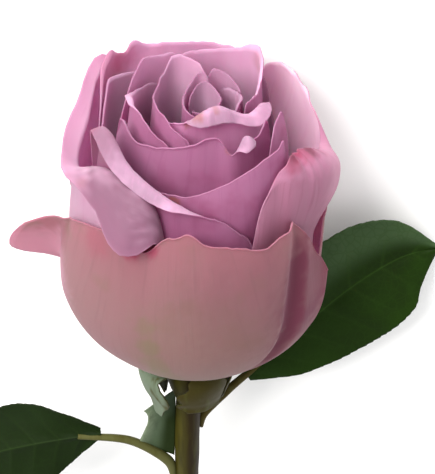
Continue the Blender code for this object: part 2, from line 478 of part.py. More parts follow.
def leaf_point(leaf, s, t):
    """Point of a leaf blade, folded a little along its midrib and wavy at its edge."""
    rib = leaf["rib"]
    here = curve_through(rib, t)
    ahead = curve_through(rib, min(t + 0.02, 1.0))
    behind = curve_through(rib, max(t - 0.02, 0.0))
    along = (Vector(ahead[:3]) - Vector(behind[:3])).normalized()
    across = Vector(leaf["side"])
    across = (across - across.dot(along) * along).normalized()
    face = along.cross(across).normalized()
    half = here[3] * (1.0 + LEAF_JAG * math.sin(t * leaf["teeth"] * 2.0 * math.pi) * abs(s))
    lift = leaf["fold"] * half * abs(s) - LEAF_CURL * half * s * s
    ripple = LEAF_RIPPLE * math.sin(t * 14.0 + s * 2.0) * abs(s)
    return Vector(here[:3]) + across * (half * s) + face * (lift + ripple)


def join(target, piece):
    """Boolean union of piece into target; piece stays as a hidden cutter."""
    piece.hide_render = True
    piece.display_type = "WIRE"
    union = target.modifiers.new("with_" + piece.name, "BOOLEAN")
    union.operation = "UNION"
    union.solver = "EXACT"
    union.object = piece


def build_leaf(name, finish, parent):
    leaf = LEAVES[name]
    sheet = blade(name, leaf["cells"], lambda s, t: leaf_point(leaf, s, t), LEAF_THICK, finish, parent)
    points = [curve_through(leaf["stalk"], i / 6.0) for i in range(7)]
    join(sheet, rod(name + "_stalk", points, STALK_RADII, STALK_SIDES, finish, parent))
    if name == "leaf_left":
        wing = blade("stipule", (3, 6), stipule_point, LEAF_THICK, finish, parent)
        join(sheet, wing)


def lay_flat(obj):
    """Gives the petal its thickness and lays its lowest points level on the floor."""
    bpy.context.view_layer.update()
    graph = bpy.context.evaluated_depsgraph_get()
    mesh = bpy.data.meshes.new_from_object(obj.evaluated_get(graph))
    obj.modifiers.clear()
    obj.data = mesh
    to_world = obj.matrix_world.copy()
    to_local = to_world.inverted()
    for vert in mesh.vertices:
        point = to_world @ vert.co
        if point.z < FLAT_SNAP * MM:
            vert.co = to_local @ Vector((point.x, point.y, 0.0))


def build_petal(name, finish, parent):
    petal = PETALS[name]
    obj = blade(name, petal["cells"], lambda s, t: petal_point(petal, s, t), PETAL_THICK,
                finish, parent)
    if petal.get("on_floor"):
        lay_flat(obj)


def main():
    remove_everything()
    outer = material("outer_petal", 0.55)
    inner = material("inner_petal", 0.55)
    stem = material("stem_green", 0.50)
    leaf = material("leaf_green", 0.40)
    lie = Matrix.Translation(Vector((-FLAT_CENTRE[0], -FLAT_CENTRE[1], REST_HEIGHT)) * MM)
    lie = lie @ Matrix.Rotation(-math.radians(90.0 - LIE_PITCH), 4, "X")
    flower = empty("flower", None, lie)
    head = empty("head", flower, Matrix.Rotation(math.radians(HEAD_LEAN), 4, "Y"))
    turned("hip", hip_profile(), HIP_SIDES, stem, head)
    for name in PETALS:
        outside = (PETALS[name]["level"] or 0.0) > 0.94
        build_petal(name, outer if outside else inner, head)
    for name, sepal in SEPALS.items():
        blade(name, (4, 8), lambda s, t, sepal=sepal: sepal_point(sepal, s, t), PETAL_THICK,
              stem, head)
    rod("stem", [p[:3] for p in STEM_LINE], [p[3] for p in STEM_LINE], STEM_SIDES, stem,
        flower)
    for name in LEAVES:
        build_leaf(name, leaf, flower)
    bpy.context.view_layer.update()


main()
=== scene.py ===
# Looks of a cut mauve rose that lies on its back: petals, sepals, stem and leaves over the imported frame.
import math

import bmesh
import bpy
from mathutils import Matrix, Vector, noise


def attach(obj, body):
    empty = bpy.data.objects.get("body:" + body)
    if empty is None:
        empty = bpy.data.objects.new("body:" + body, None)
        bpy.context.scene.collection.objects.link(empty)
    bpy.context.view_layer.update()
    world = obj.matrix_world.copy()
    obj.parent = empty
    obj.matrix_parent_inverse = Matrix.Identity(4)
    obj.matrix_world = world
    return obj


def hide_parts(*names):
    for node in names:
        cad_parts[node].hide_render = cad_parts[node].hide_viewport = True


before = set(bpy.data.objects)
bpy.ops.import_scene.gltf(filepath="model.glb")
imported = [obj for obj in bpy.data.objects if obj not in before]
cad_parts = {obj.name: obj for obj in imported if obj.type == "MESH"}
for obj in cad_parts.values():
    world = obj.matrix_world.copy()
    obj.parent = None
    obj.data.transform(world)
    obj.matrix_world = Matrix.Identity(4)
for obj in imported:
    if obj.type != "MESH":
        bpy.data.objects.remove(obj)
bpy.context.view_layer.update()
print("frame loaded:", len(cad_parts), "nodes")

mm = 0.001

# How the flower lies: the bloom leans to its right, the whole flower is turned back onto the floor.
# Sizes below are in millimetres in the upright flower: +Z to the bloom's tip, -Y to its front,
# angles in degrees round the bloom from 0 at the front to 90 at its right. The back petal is flat
# for flatReach to either side of flatMiddle and bows off the floor beyond that by flatBow.
pose = dict(headLean=2.4, liePitch=3.0, restHeight=25.2, flatCentre=(1.5, 39.0),
            flatMiddle=39.7, flatReach=6.0, flatBow=0.003)

moveDown = Vector((-pose["flatCentre"][0], -pose["flatCentre"][1], pose["restHeight"])) * mm
layBack = Matrix.Rotation(-math.radians(90.0 - pose["liePitch"]), 4, "X")
flowerToWorld = Matrix.Translation(moveDown) @ layBack
headToWorld = flowerToWorld @ Matrix.Rotation(math.radians(pose["headLean"]), 4, "Y")


# Small tools shared by all pieces.
def smoothStep(value):
    value = min(1.0, max(0.0, value))
    return value * value * (3.0 - 2.0 * value)


def curveThrough(rows, place):  # value of every column on a smooth curve through the rows
    span = len(rows) - 1
    at = min(max(place, 0.0), 1.0) * span
    index = min(int(at), span - 1)
    f = at - index
    before, here = rows[max(index - 1, 0)], rows[index]
    after, beyond = rows[index + 1], rows[min(index + 2, span)]
    values = []
    for a, b, c, d in zip(before, here, after, beyond):
        bend = (2.0 * a - 5.0 * b + 4.0 * c - d) * f + (3.0 * b - 3.0 * c + d - a) * f * f
        values.append(b + 0.5 * f * (c - a + bend))
    return values


def heading(rows, place, step):  # which way the curve through x, y and z runs at a place
    ahead = Vector(curveThrough(rows, min(place + step, 1.0))[:3])
    behind = Vector(curveThrough(rows, max(place - step, 0.0))[:3])
    return (ahead - behind).normalized()


seedStep = 7.3  # how far apart the noise of two seeds lies


def wobble(x, y, seed):  # smooth noise between about -1 and 1
    return noise.noise(Vector((x, y, seed * seedStep)))


def newSheet(cells, marks=()):  # flat grid from -1 to 1 both ways, with a painted value for each mark
    bm = bmesh.new()
    layers = {mark: bm.verts.layers.float.new(mark) for mark in marks}
    bmesh.ops.create_grid(bm, x_segments=cells[0], y_segments=cells[1], size=1.0)
    return bm, layers


def finishPiece(bm, name, finishes, nodes):
    mesh = bpy.data.meshes.new(name)
    bm.to_mesh(mesh)
    bm.free()
    for finish in finishes:
        mesh.materials.append(finish)
    mesh.shade_smooth()
    piece = bpy.data.objects.new(name, mesh)
    bpy.context.scene.collection.objects.link(piece)
    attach(piece, "root")
    if nodes:
        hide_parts(*nodes)
    return piece


def giveThickness(piece, thickness):  # the inner face takes the next material, the rim the first
    wall = piece.modifiers.new("thickness", "SOLIDIFY")
    wall.thickness = thickness * mm
    wall.offset = 0.0
    wall.material_offset = 1


# Materials start here; colours are sRGB hex values.
def linear(hexColour):
    values = [int(hexColour[i:i + 2], 16) / 255.0 for i in (0, 2, 4)]
    return [v / 12.92 if v <= 0.04045 else ((v + 0.055) / 1.055) ** 2.4 for v in values] + [1.0]


def addNode(tree, kind, settings=None, inputs=None):  # an input is a value or another node's output
    node = tree.nodes.new(kind)
    for key, value in (settings or {}).items():
        setattr(node, key, value)
    for key, value in (inputs or {}).items():
        if isinstance(value, bpy.types.NodeSocket):
            tree.links.new(value, node.inputs[key])
        else:
            node.inputs[key].default_value = value
    return node


def blank(name):
    made = bpy.data.materials.new(name)
    made.use_nodes = True
    tree = made.node_tree
    tree.nodes.clear()
    return made, tree


# A coat is what it follows and its tint. A coat that follows a pattern also has the value where it
# starts, the value where it is full and how strong it gets.
def paintOver(tree, colour, coats):
    for source, tint, *spread in coats:
        if spread:
            start, full, most = spread
            source = addNode(tree, "ShaderNodeMapRange", {"interpolation_type": "SMOOTHSTEP"}, {
                "Value": source, "From Min": start, "From Max": full, "To Max": most}).outputs["Result"]
        colour = addNode(tree, "ShaderNodeMix", {"data_type": "RGBA"}, {
            0: source, 6: colour, 7: linear(tint)}).outputs[2]
    return colour


# Rose petal skin: cone-shaped cells give a soft velvety sheen with no hard gloss. Rim and foot have
# tints of their own over the face, and the darker foot tint also paints the shade low in the cup;
# fine veins run from foot to rim, and marks show where painted.
petalLook = dict(
    rimSpread=(0.55, 1.0, 1.0), footSpread=(0.42, 0.05, 1.0),
    cloudScale=95.0, cloudDetail=3.0, cloudRoughness=0.55, cloudSpread=(0.50, 0.78, 1.0),  # 10.5 mm wide
    grainScale=900.0, grainDetail=2.0, grainStrength=0.12, grainDepth=0.00012,  # 1.1 mm, to show
    veinAlong=0.07, veinDetail=2.5, veinRoughness=0.6, veinSpread=(0.52, 0.70), veinDepth=0.0002,
    roughness=0.58, ior=1.40, specular=0.30, sheenRoughness=0.45, sheenTint="F6DDEE",
    scatter=0.15, scatterDepth=0.0012, scatterReach=(1.0, 0.35, 0.55), glowTint=0.6, shineThrough=0.42)
# Mark tints: the dark wine tint paints shade in folds and on shaded sides; the pale tint is partly the
# petal's own paler tips and partly painted highlight on lobes and bulges; blush and brown are mostly its
# own.
markTints = dict(pale="DCAAC2", blush="A8385C", paintedShade="7A3A50", brown="9A6242")


def petalSkin(name, colours, veinSpacing, veinStrength, sheen):
    made, tree = blank(name)
    look = petalLook
    uv = addNode(tree, "ShaderNodeUVMap", {"uv_map": "along"}).outputs["UV"]
    place = addNode(tree, "ShaderNodeTexCoord").outputs["Object"]
    height = addNode(tree, "ShaderNodeAttribute", {"attribute_name": "height"}).outputs["Fac"]
    clouds = addNode(tree, "ShaderNodeTexNoise", None, {
        "Vector": place, "Scale": look["cloudScale"], "Detail": look["cloudDetail"],
        "Roughness": look["cloudRoughness"]}).outputs["Fac"]
    stretch = addNode(tree, "ShaderNodeMapping", None, {
        "Vector": uv, "Scale": (1.0 / veinSpacing, look["veinAlong"] / veinSpacing, 1.0)})
    veins = addNode(tree, "ShaderNodeTexNoise", None, {
        "Vector": stretch.outputs["Vector"], "Scale": 1.0, "Detail": look["veinDetail"],
        "Roughness": look["veinRoughness"]}).outputs["Fac"]
    coats = [(height, colours["rim"], *look["rimSpread"]),
             (height, colours["foot"], *look["footSpread"]),
             (clouds, colours["cloud"], *look["cloudSpread"]),
             (veins, colours["vein"], *look["veinSpread"], colours["veins"])]
    for mark, tint in dict(green=colours["green"], **markTints, edge=colours["edge"]).items():
        follows = addNode(tree, "ShaderNodeAttribute", {"attribute_name": mark}).outputs["Fac"]
        coats.append((follows, tint))
    colour = paintOver(tree, linear(colours["face"]), coats)
    grain = addNode(tree, "ShaderNodeTexNoise", None, {
        "Vector": place, "Scale": look["grainScale"], "Detail": look["grainDetail"]}).outputs["Fac"]
    grainBump = addNode(tree, "ShaderNodeBump", None, {
        "Strength": look["grainStrength"], "Distance": look["grainDepth"], "Height": grain})
    veinBump = addNode(tree, "ShaderNodeBump", None, {
        "Strength": veinStrength, "Distance": look["veinDepth"], "Height": veins,
        "Normal": grainBump.outputs["Normal"]}).outputs["Normal"]
    shader = addNode(tree, "ShaderNodeBsdfPrincipled", {"subsurface_method": "RANDOM_WALK"}, {
        "Base Color": colour, "Normal": veinBump, "Roughness": look["roughness"], "IOR": look["ior"],
        "Specular IOR Level": look["specular"], "Subsurface Weight": look["scatter"],
        "Subsurface Scale": look["scatterDepth"], "Subsurface Radius": look["scatterReach"],
        "Sheen Weight": sheen, "Sheen Roughness": look["sheenRoughness"],
        "Sheen Tint": linear(look["sheenTint"])})
    through = paintOver(tree, colour, [(look["glowTint"], colours["glow"])])  # light from behind is pinker
    glow = addNode(tree, "ShaderNodeBsdfTranslucent", None, {"Color": through, "Normal": veinBump})
    both = addNode(tree, "ShaderNodeMixShader", None, {
        "Fac": look["shineThrough"], 1: shader.outputs["BSDF"], 2: glow.outputs["BSDF"]})
    addNode(tree, "ShaderNodeOutputMaterial", None, {"Surface": both.outputs["Shader"]})
    return made


# Upper faces are pale and velvety, reverses darker with a satin light, and guard petals dulled by
# green and brown. Vein spacing is in millimetres, then how strong the veins stand out and the sheen.
# brighter copy of the upper face: painted light on the right side petal's inner face, which light falls
# full on
paintedLitSkin = petalSkin("velvet_sunlit_petal_upper_face", dict(
    rim="FAE2F2", face="FAE0F2", foot="EEB4DA", cloud="F4D4EA", vein="ECC0DE", veins=0.25,
    green="B08AA0", edge="E2BCD4", glow="F8B4DE"), 0.7, 0.20, 0.20)
openSkin = petalSkin("velvet_open_petal_upper_face", dict(
    rim="D6AECA", face="F4CCE6", foot="E49CCA", cloud="EEC0DC", vein="E0AACE", veins=0.25,
    green="B08AA0", edge="E2BCD4", glow="F0A2D4"), 0.7, 0.20, 0.20)
insideSkin = petalSkin("velvet_rolled_petal_upper_face", dict(
    rim="AE8CA4", face="F4C8E6", foot="D880BC", cloud="EABADA", vein="DCA4CA", veins=0.25,
    green="8A6478", edge="C6A4BA", glow="EC98CE"), 0.7, 0.20, 0.20)
dullSkin = petalSkin("dusky_petal_upper_face", dict(
    rim="D8AAC6", face="F2D0E6", foot="EEC2DC", cloud="E2B4D0", vein="D6A2C2", veins=0.30,
    green="7E566C", edge="C89AB4", glow="EEACD2"), 0.7, 0.22, 0.15)
outsideSkin = petalSkin("satin_petal_reverse", dict(
    rim="A87696", face="985A80", foot="7A3C60", cloud="905676", vein="884F74", veins=0.25,
    green="86646C", edge="C496B0", glow="DC7CB8"), 0.7, 0.22, 0.12)
# lighter copy of the reverse: painted light lifting the shade that the front inner petal's rolled flap
# casts on its outer face
litOutside = petalSkin("satin_painted_lit_petal_reverse", dict(
    rim="CC9ABC", face="BE84A8", foot="8A4C72", cloud="B67AA0", vein="AC7096", veins=0.25,
    green="86646C", edge="D0A4BE", glow="E490C8"), 0.7, 0.22, 0.12)
guardSkin = petalSkin("weathered_guard_petal_reverse", dict(
    rim="A66E7A", face="9A7477", foot="827262", cloud="94726E", vein="8A686C", veins=0.30,
    green="7E7A56", edge="BA7C94", glow="CC8890"), 0.9, 0.30, 0.12)
flushedSkin = petalSkin("flushed_petal_reverse", dict(
    rim="C890AE", face="92667A", foot="785A5C", cloud="8C6276", vein="82586C", veins=0.30,
    green="7E7A56", edge="C894AC", glow="D890A8"), 0.8, 0.28, 0.12)
guardInside = petalSkin("guard_petal_upper_face", dict(
    rim="D69EB2", face="C498A8", foot="926C78", cloud="A87C88", vein="A07482", veins=0.30,
    green="907E60", edge="BA7090", glow="CC8890"), 0.8, 0.22, 0.20)
print("petal finishes ready")


# Petals sit on nested cups around the dome of the hip; a level is a share of the outermost cup. Every
# blade widens up to clawEnd, leaves the dome up to seatEnd and has cells of columnWidth by rowHeight.
cup = dict(footRadius=9.0, bodyRadius=29.5, widest=30.0, fullness=2.8, mouthHeight=40.0,
           mouthClosing=0.12, crowd=1.4, crowdHeight=20.0, rimHeight=70.0, innerWidth=0.55)
dome = dict(radius=8.85, height=8.85, gap=0.6, turn=80.0)
blade = dict(clawEnd=0.62, seatEnd=0.22, risePower=1.5, lipFrom=0.985, lipSteps=14, thickness=0.30,
             columnWidth=0.7, columns=(36, 140), rowHeight=0.9, rows=(40, 84), rimWidth=0.5,
             narrowest=8.0, veinFan=0.35, greenUpTo=0.35)
valley = dict(halfWidth=9.0, dipStart=0.2, dipFull=0.3, liftFull=0.25)

# Waves: how large, how close across the petal and how close up it.
waves = dict(crest=((1.0, 0.16, 1.0), (0.5, 0.45, 3.0)), body=((0.22, 0.05, 0.06), (0.08, 0.2, 0.1)),
             bodyFull=0.4, edgeAcross=0.13, edgeUp=2.0, edgeStart=0.6, pleatStart=0.62, swellRise=0.8)

rolledPair = (outsideSkin, insideSkin)  # finishes of a rolled petal

# What a petal has unless its own dictionary gives it.
plainPetal = dict(level=None, tight=0.8, frill=0.35, edge=0.15, green=0.3, claw=0.30, opensAt=0.45,
                  onFloor=False, guard=False, finishes=(outsideSkin, openSkin),
                  pleats=[], pale=[], blush=[], brown=[], paintedShade=[], greens=[])


def cupRadius(level, z):
    if z < cup["widest"]:
        rise = 1.0 - (1.0 - max(z, 0.0) / cup["widest"]) ** cup["fullness"]
        radius = cup["footRadius"] + (cup["bodyRadius"] - cup["footRadius"]) * rise
    else:
        over = (z - cup["widest"]) / cup["mouthHeight"]
        radius = cup["bodyRadius"] * (1.0 - cup["mouthClosing"] * over ** 2)
    crowd = cup["crowd"] * max(0.0, 1.0 - z / cup["crowdHeight"]) ** 2
    return radius * level ** (1.0 + crowd)


def onFloor(point):  # the petal below is pressed flat where it lies
    lean, pitch = math.radians(pose["headLean"]), math.radians(pose["liePitch"])
    height = point.z * math.cos(lean) - point.x * math.sin(lean)
    bow = pose["flatBow"] * max(0.0, abs(height - pose["flatMiddle"]) - pose["flatReach"]) ** 2
    room = pose["restHeight"] - blade["thickness"] / 2.0 - bow
    floor = (room + height * math.sin(pitch)) / math.cos(pitch)
    return Vector((point.x, min(point.y, floor), point.z))


def petalPoint(petal, s, t):  # s from -1 to 1 across, t from 0 at the claw to 1 at the free edge
    rows = petal["rim"]
    theta, crestZ, place, lip, turn = curveThrough(rows, (s + 1.0) / 2.0)
    seed, frill, level = petal["seed"], petal["frill"], petal["level"]
    for share, across, up in waves["crest"]:
        crestZ += share * frill * wobble(theta * across, up, seed)
    clawLevel = level
    flare = place
    if not level:
        level = place / cupRadius(1.0, cup["rimHeight"])
        clawLevel = rows[len(rows) // 2][2] / cupRadius(1.0, cup["rimHeight"])
        flare = 0.0
    centre = (rows[0][0] + rows[-1][0]) / 2.0
    lipStart = 1.0 - petal["lipShare"]
    u = min(t / lipStart, 1.0)
    rootTurn = math.radians(dome["turn"] * petal.get("root", clawLevel))
    rootR = (dome["radius"] + dome["gap"]) * math.sin(rootTurn)
    rootZ = (dome["height"] + dome["gap"]) * math.cos(rootTurn)

    def body(u):
        z = rootZ + (crestZ - rootZ) * u ** blade["risePower"]
        seat = 1.0 - max(0.0, 1.0 - u / blade["seatEnd"]) ** 3
        radius = rootR + (cupRadius(level, z) - rootR) * seat
        return radius + flare * smoothStep((u - petal["opensAt"]) / (1.0 - petal["opensAt"])), z

    radius, z = body(u)
    if t > lipStart and lip > 0.0:  # a positive turn rolls the edge outwards
        belowR, belowZ = body(blade["lipFrom"])
        angle = math.atan2(radius - belowR, z - belowZ)
        reach = lip * (t - lipStart) / petal["lipShare"]
        step = reach / blade["lipSteps"]
        for i in range(blade["lipSteps"]):
            done = min(1.0, (i + 0.5) * step / (lip * petal["tight"]))
            radius += step * math.sin(angle + math.radians(turn) * done)
            z += step * math.cos(angle + math.radians(turn) * done)
    if "fold" in petal:  # valley near one side, beyond which the petal bends outwards
        middle, dip, lift, end = petal["fold"]
        dipUp = smoothStep((u - valley["dipStart"]) / valley["dipFull"])
        radius -= dip * smoothStep(1.0 - abs(theta - middle) / valley["halfWidth"]) * dipUp
        radius += lift * smoothStep((theta - middle) / (end - middle)) * smoothStep(u / valley["liftFull"])
    if "swell" in petal:
        middle, half, most = petal["swell"]
        risen = math.sin(math.pi * u ** waves["swellRise"])
        radius += most * smoothStep(1.0 - abs(theta - middle) / half) * risen
    # soft waves: slight over the body, stronger at the free edge
    for number, (size, across, up) in enumerate(waves["body"]):
        radius += size * wobble(theta * across, z * up, seed + number) * smoothStep(u / waves["bodyFull"])
    edgeShare = smoothStep((t - waves["edgeStart"]) / (1.0 - waves["edgeStart"]))
    radius += frill * edgeShare * wobble(theta * waves["edgeAcross"], t * waves["edgeUp"], seed + 2)
    pleatShare = smoothStep((t - waves["pleatStart"]) / (1.0 - waves["pleatStart"]))
    for angleAt, halfWidth, depth, close in petal["pleats"]:
        near = smoothStep(1.0 - abs(theta - angleAt) / halfWidth)
        radius += depth * near * pleatShare * math.sin(theta * close)
    width = petal["claw"] + (1.0 - petal["claw"]) * math.sin(math.pi / 2.0 * min(1.0, u / blade["clawEnd"]))
    theta = math.radians(centre + (theta - centre) * width)
    point = Vector((radius * math.sin(theta), -radius * math.cos(theta), z))
    return onFloor(point) if petal["onFloor"] else point


markMake = dict(ragged=0.35, raggedClose=0.8, seed=5, fade=1.6)  # borders of a mark are soft and uneven


def spots(point, places):  # how much of a mark is at a point; places are angle, height, radius, amount
    theta = math.degrees(math.atan2(point.x, -point.y))
    radius = math.hypot(point.x, point.y)
    close = markMake["raggedClose"]
    total = 0.0
    for angle, height, size, amount in places:
        across = math.radians((theta - angle + 180.0) % 360.0 - 180.0) * radius
        away = math.hypot(across, point.z - height) / size
        away += markMake["ragged"] * wobble(point.x * close, point.z * close, markMake["seed"])
        total += amount * smoothStep(markMake["fade"] - away)
    return min(1.0, total)


def makePetal(node, ownValues):
    petal = {**plainPetal, **ownValues}
    rows = petal["rim"]
    around = math.radians(rows[-1][0] - rows[0][0])
    span = around * (petal["level"] or cup["innerWidth"]) * cup["bodyRadius"]
    tall = max(row[1] + row[3] for row in rows)
    fewest, most = blade["columns"]
    across = max(fewest, min(most, int(span / blade["columnWidth"])))
    fewest, most = blade["rows"]
    along = max(fewest, min(most, int(tall / blade["rowHeight"])))
    rimWidth = blade["rimWidth"] / tall
    bm, layers = newSheet((across, along), ("height", "edge", "green", *markTints))
    uv = bm.loops.layers.uv.new("along")
    width = max(span, blade["narrowest"])
    for face in bm.faces:
        for loop in face.loops:
            x, y = loop.vert.co.x, (loop.vert.co.y + 1.0) / 2.0
            fan = blade["veinFan"] + (1.0 - blade["veinFan"]) * y
            loop[uv].uv = (x * width / 2.0 * fan, y * tall)
    for vert in bm.verts:
        s, t = vert.co.x, (vert.co.y + 1.0) / 2.0
        point = petalPoint(petal, s, t)
        vert[layers["height"]] = t
        vert[layers["edge"]] = petal["edge"] * smoothStep((t - 1.0 + rimWidth) / rimWidth)
        for mark in markTints:
            vert[layers[mark]] = spots(point, petal[mark])
        footGreen = petal["green"] * smoothStep(1.0 - t / blade["greenUpTo"])
        vert[layers["green"]] = max(footGreen, spots(point, petal["greens"]))
        vert.co = headToWorld @ (point * mm)
    if rows[0][0] > rows[-1][0]:  # rows that run the other way round would face inwards
        bmesh.ops.reverse_faces(bm, faces=bm.faces)
    piece = finishPiece(bm, node.replace("petal_", "rose_petal_"), petal["finishes"], [node])
    giveThickness(piece, blade["thickness"])


# Rim rows go from one side of a petal to the other: angle, height, how far it opens past its cup
# (or its radius where level is None), length of the rolled edge and how far that is turned.
# Marks such as blush or brown, and greens, are patches: angle, height, radius and how strong.
# Greens take each finish's green tint, which on the inner petals' finishes is a greyed mauve.
# A petal with finishes of its own names the outer one first. Of its height, lipShare is rolled edge;
# tight is the share of that edge that turns, and root is where the claw sits on the dome. A fold is
# angle, depth, bend and end, a swell angle, half width and size, a pleat those and how close it comes.
guardFront = dict(
    level=1.0, seed=1, lipShare=0.14, tight=0.5, claw=0.5, root=1.06, fold=(48.0, 2.2, 1.2, 72.0),
    swell=(-84.0, 48.0, 1.3), frill=0.5, green=0.9, edge=0.55, guard=True,
    # the pale patch on the rolled-out left lobe is a painted highlight
    finishes=(guardSkin, guardInside), pale=[(-90, 27, 10.0, 0.55)],
    # blush at the notch: partly the petal's own red, partly painted shadow under the tip of the left
    # petal's flap
    blush=[(-28, 47.5, 1.8, 0.8), (-31, 48.5, 1.2, 0.6), (-19, 48.5, 1.4, 0.7), (-45, 46, 3.0, 0.25)],
    greens=[(-21, 28, 2.2, 0.3), (-20, 22, 2.4, 0.4), (-18, 16, 2.6, 0.4), (-16, 10, 3.5, 0.4),
        (2, 20, 14.0, 0.2)],
    # painted shade: a dark wine stripe down the fold valley and a darker right side of the guard
    paintedShade=[(52, 44, 2.4, 0.3), (50, 39, 2.9, 0.4), (49, 34, 3.1, 0.4), (48, 29, 3.1, 0.4),
        (47.5, 24, 3.0, 0.4), (47, 19, 2.9, 0.35), (46, 14, 2.6, 0.3), (45, 9, 2.2, 0.2),
        (62, 32, 11.0, 0.65), (60, 14, 10.0, 0.5), (24, 34, 13.0, 0.2)], rim=[
    (-106, 15, 0, 0, 0), (-100, 20, 0, 0.5, 20), (-95, 23, 0, 4.5, 80),
    (-90, 25.5, 0.5, 14.5, 94), (-84, 31.5, 0.8, 13, 88), (-76, 38.5, 1.4, 6.5, 66),
    (-66, 44.5, 2.0, 1.5, 45), (-56, 47.5, 2.3, 1, 30), (-46, 49, 2.4, 1, 25),
    (-38, 49.5, 2.4, 1, 25), (-32, 48.5, 2.0, 1, 25), (-26, 46.8, 1.5, 1, 25),
    (-20, 47.5, 1.3, 1, 25), (-14, 51.5, 1.6, 1, 25), (-9, 52, 1.6, 1, 25),
    (-4, 53.5, 1.7, 1, 25), (2, 51.5, 1.6, 1, 25), (10, 50, 1.4, 1, 25),
    (20, 49, 1.3, 1, 25), (30, 48, 1.2, 1, 25), (37, 49.5, 1.4, 1.2, 25),
    (44, 50.5, 1.4, 1.5, 25), (52, 47.5, 0.8, 1, 25), (58, 43, -0.2, 0.8, 20),
    (63, 39, -0.8, 0.8, 20), (68, 35.5, -0.6, 0.8, 20), (72, 31.5, 0.3, 0.5, 20)])
makePetal("petal_guard_front", guardFront)

guardBack = dict(
    level=0.95, seed=2, lipShare=0.16, onFloor=True, frill=0.5, green=0.6, guard=True,
    finishes=(guardSkin, openSkin), rim=[
    (76, 27, 0.1, 0.6, 20), (82, 33.5, 0.1, 0.8, 20), (90, 38.5, 0.7, 1.4, 40),
    (100, 42.5, 1.0, 2.4, 50), (112, 45.5, 0.7, 2.5, 50), (124, 47.5, 1.0, 2.5, 50),
    (136, 49.8, 1.2, 3, 50), (148, 51.3, 1.2, 3, 50), (159, 52.2, 1.1, 3, 50),
    (169, 51.6, 0.9, 2.6, 40), (178, 51.8, 0.8, 2.5, 40), (187, 52.4, 0.9, 2.6, 40),
    (196, 52.8, 1.1, 3, 50), (206, 52.2, 1.2, 3, 50), (218, 50, 1.6, 2.5, 50),
    (230, 45.8, 1.3, 2, 45), (239, 39.5, 0.4, 1, 30), (246, 33, 0.2, 0.5, 10),
    (252, 24, 0, 0, 0)])
makePetal("petal_guard_back", guardBack)

sideLow = dict(
    level=0.955, seed=3, lipShare=0.14, root=0.98, guard=True, finishes=(dullSkin, insideSkin),
    greens=[(-72, 46, 16.0, 0.4)], rim=[
    (-102, 27, 0, 0, 0), (-98, 35, 0, 0.5, 10), (-93, 42, 0.2, 1, 30),
    (-85, 47.5, 0.8, 1.5, 40), (-76, 51, 1.4, 1.5, 50), (-66, 53.5, 2.0, 1.5, 50),
    (-56, 54.5, 2.4, 1.5, 50), (-47, 54.2, 2.4, 1.5, 50), (-41, 53.5, 2.3, 1, 50),
    (-38, 49, 1.7, 0.8, 20), (-36, 40, 0.8, 0, 0)])
makePetal("petal_side_low", sideLow)

sideLeft = dict(
    level=0.90, seed=4, lipShare=0.34, tight=0.3, opensAt=0.72, frill=0.45, edge=0.5,
    # the greens patch lays a dark mauve tint over the hanging flap: painted shade
    finishes=(outsideSkin, dullSkin), greens=[(-38, 50, 13.0, 0.9)],
    pale=[(-24, 46.2, 1.4, 0.5), (-30, 45.4, 1.6, 0.6), (-37, 46, 1.4, 0.5)],
    blush=[(-21, 46, 1.6, 0.35)], brown=[(-58, 58, 0.9, 0.25)], rim=[
    (-12, 28, 0, 0.5, 20), (-15, 44, 0.2, 1, 60), (-18, 52, 0.4, 5.2, 125),
    (-22, 56, 0.4, 13, 152), (-27, 57.8, 0.4, 16.7, 152), (-32, 58.6, 0.4, 16.8, 152),
    (-38, 59.6, 0.4, 14, 152), (-45, 60.3, 0.5, 11, 150), (-53, 60, 0.7, 9, 140),
    (-61, 58.4, 0.9, 7.4, 122), (-69, 56, 1.1, 6.4, 98), (-78, 53.5, 1.3, 5.8, 74),
    (-88, 52, 1.5, 5.4, 58), (-99, 53, 1.7, 5.6, 52), (-109, 55.5, 1.8, 5.6, 48),
    (-117, 59, 2.9, 5, 42), (-125, 63, 4.6, 4.4, 38), (-132, 65.3, 4.9, 3.2, 30),
    (-139, 63, 4.2, 1.8, 20), (-147, 50, 1.2, 0.5, 10)])
makePetal("petal_side_left", sideLeft)

sideRight = dict(
    level=0.90, seed=5, lipShare=0.24, opensAt=0.74, frill=0.45, edge=0.3,
    finishes=(flushedSkin, paintedLitSkin), pleats=[(60, 14, 0.5, 1.1), (80, 10, 0.3, 0.8)],
    # the pale patch on the outward bulge is a painted highlight
    pale=[(84, 53.5, 6.5, 0.55)],
    blush=[(49, 65.5, 2.2, 0.45), (56, 66, 2.2, 0.5), (63, 65.5, 2.4, 0.5), (71, 64.5, 2.2, 0.4),
        (79, 62, 1.6, 0.25)],
    # painted shade in the pinched folds along the rim
    paintedShade=[(52, 66.5, 1.6, 0.8), (60, 66.2, 1.2, 0.5), (68, 64.2, 1.8, 0.75), (76, 62, 1.2, 0.4)], rim=[
    (24, 32, 0, 0, 0), (27, 46, 0.2, 0.3, 10), (30, 54, 0.5, 0.4, 10),
    (34, 58.5, 0.8, 0.6, 0), (40, 60.8, 1.2, 2, -10), (45, 61, 2.5, 4.4, -20),
    (50, 60.2, 3.2, 6.4, -36), (56, 59.2, 3.5, 8, -52), (62, 58.6, 4.2, 8.6, -56),
    (68, 57.8, 4.9, 8.6, -60), (75, 56.6, 5.5, 8.2, -66), (82, 55.2, 5.9, 7.6, -72),
    (88, 54.6, 5.7, 6.6, -74), (93, 57.2, 3.8, 4.4, -50), (98, 62.4, 1.6, 2, -15),
    (105, 65, 0.9, 1, 20), (117, 67, 1.1, 1, 30), (128, 67.8, 1.6, 1, 30),
    (139, 67.3, 1.8, 1, 30), (149, 63, 1.3, 0.8, 20), (158, 46, 0.4, 0.5, 10)])
makePetal("petal_side_right", sideRight)

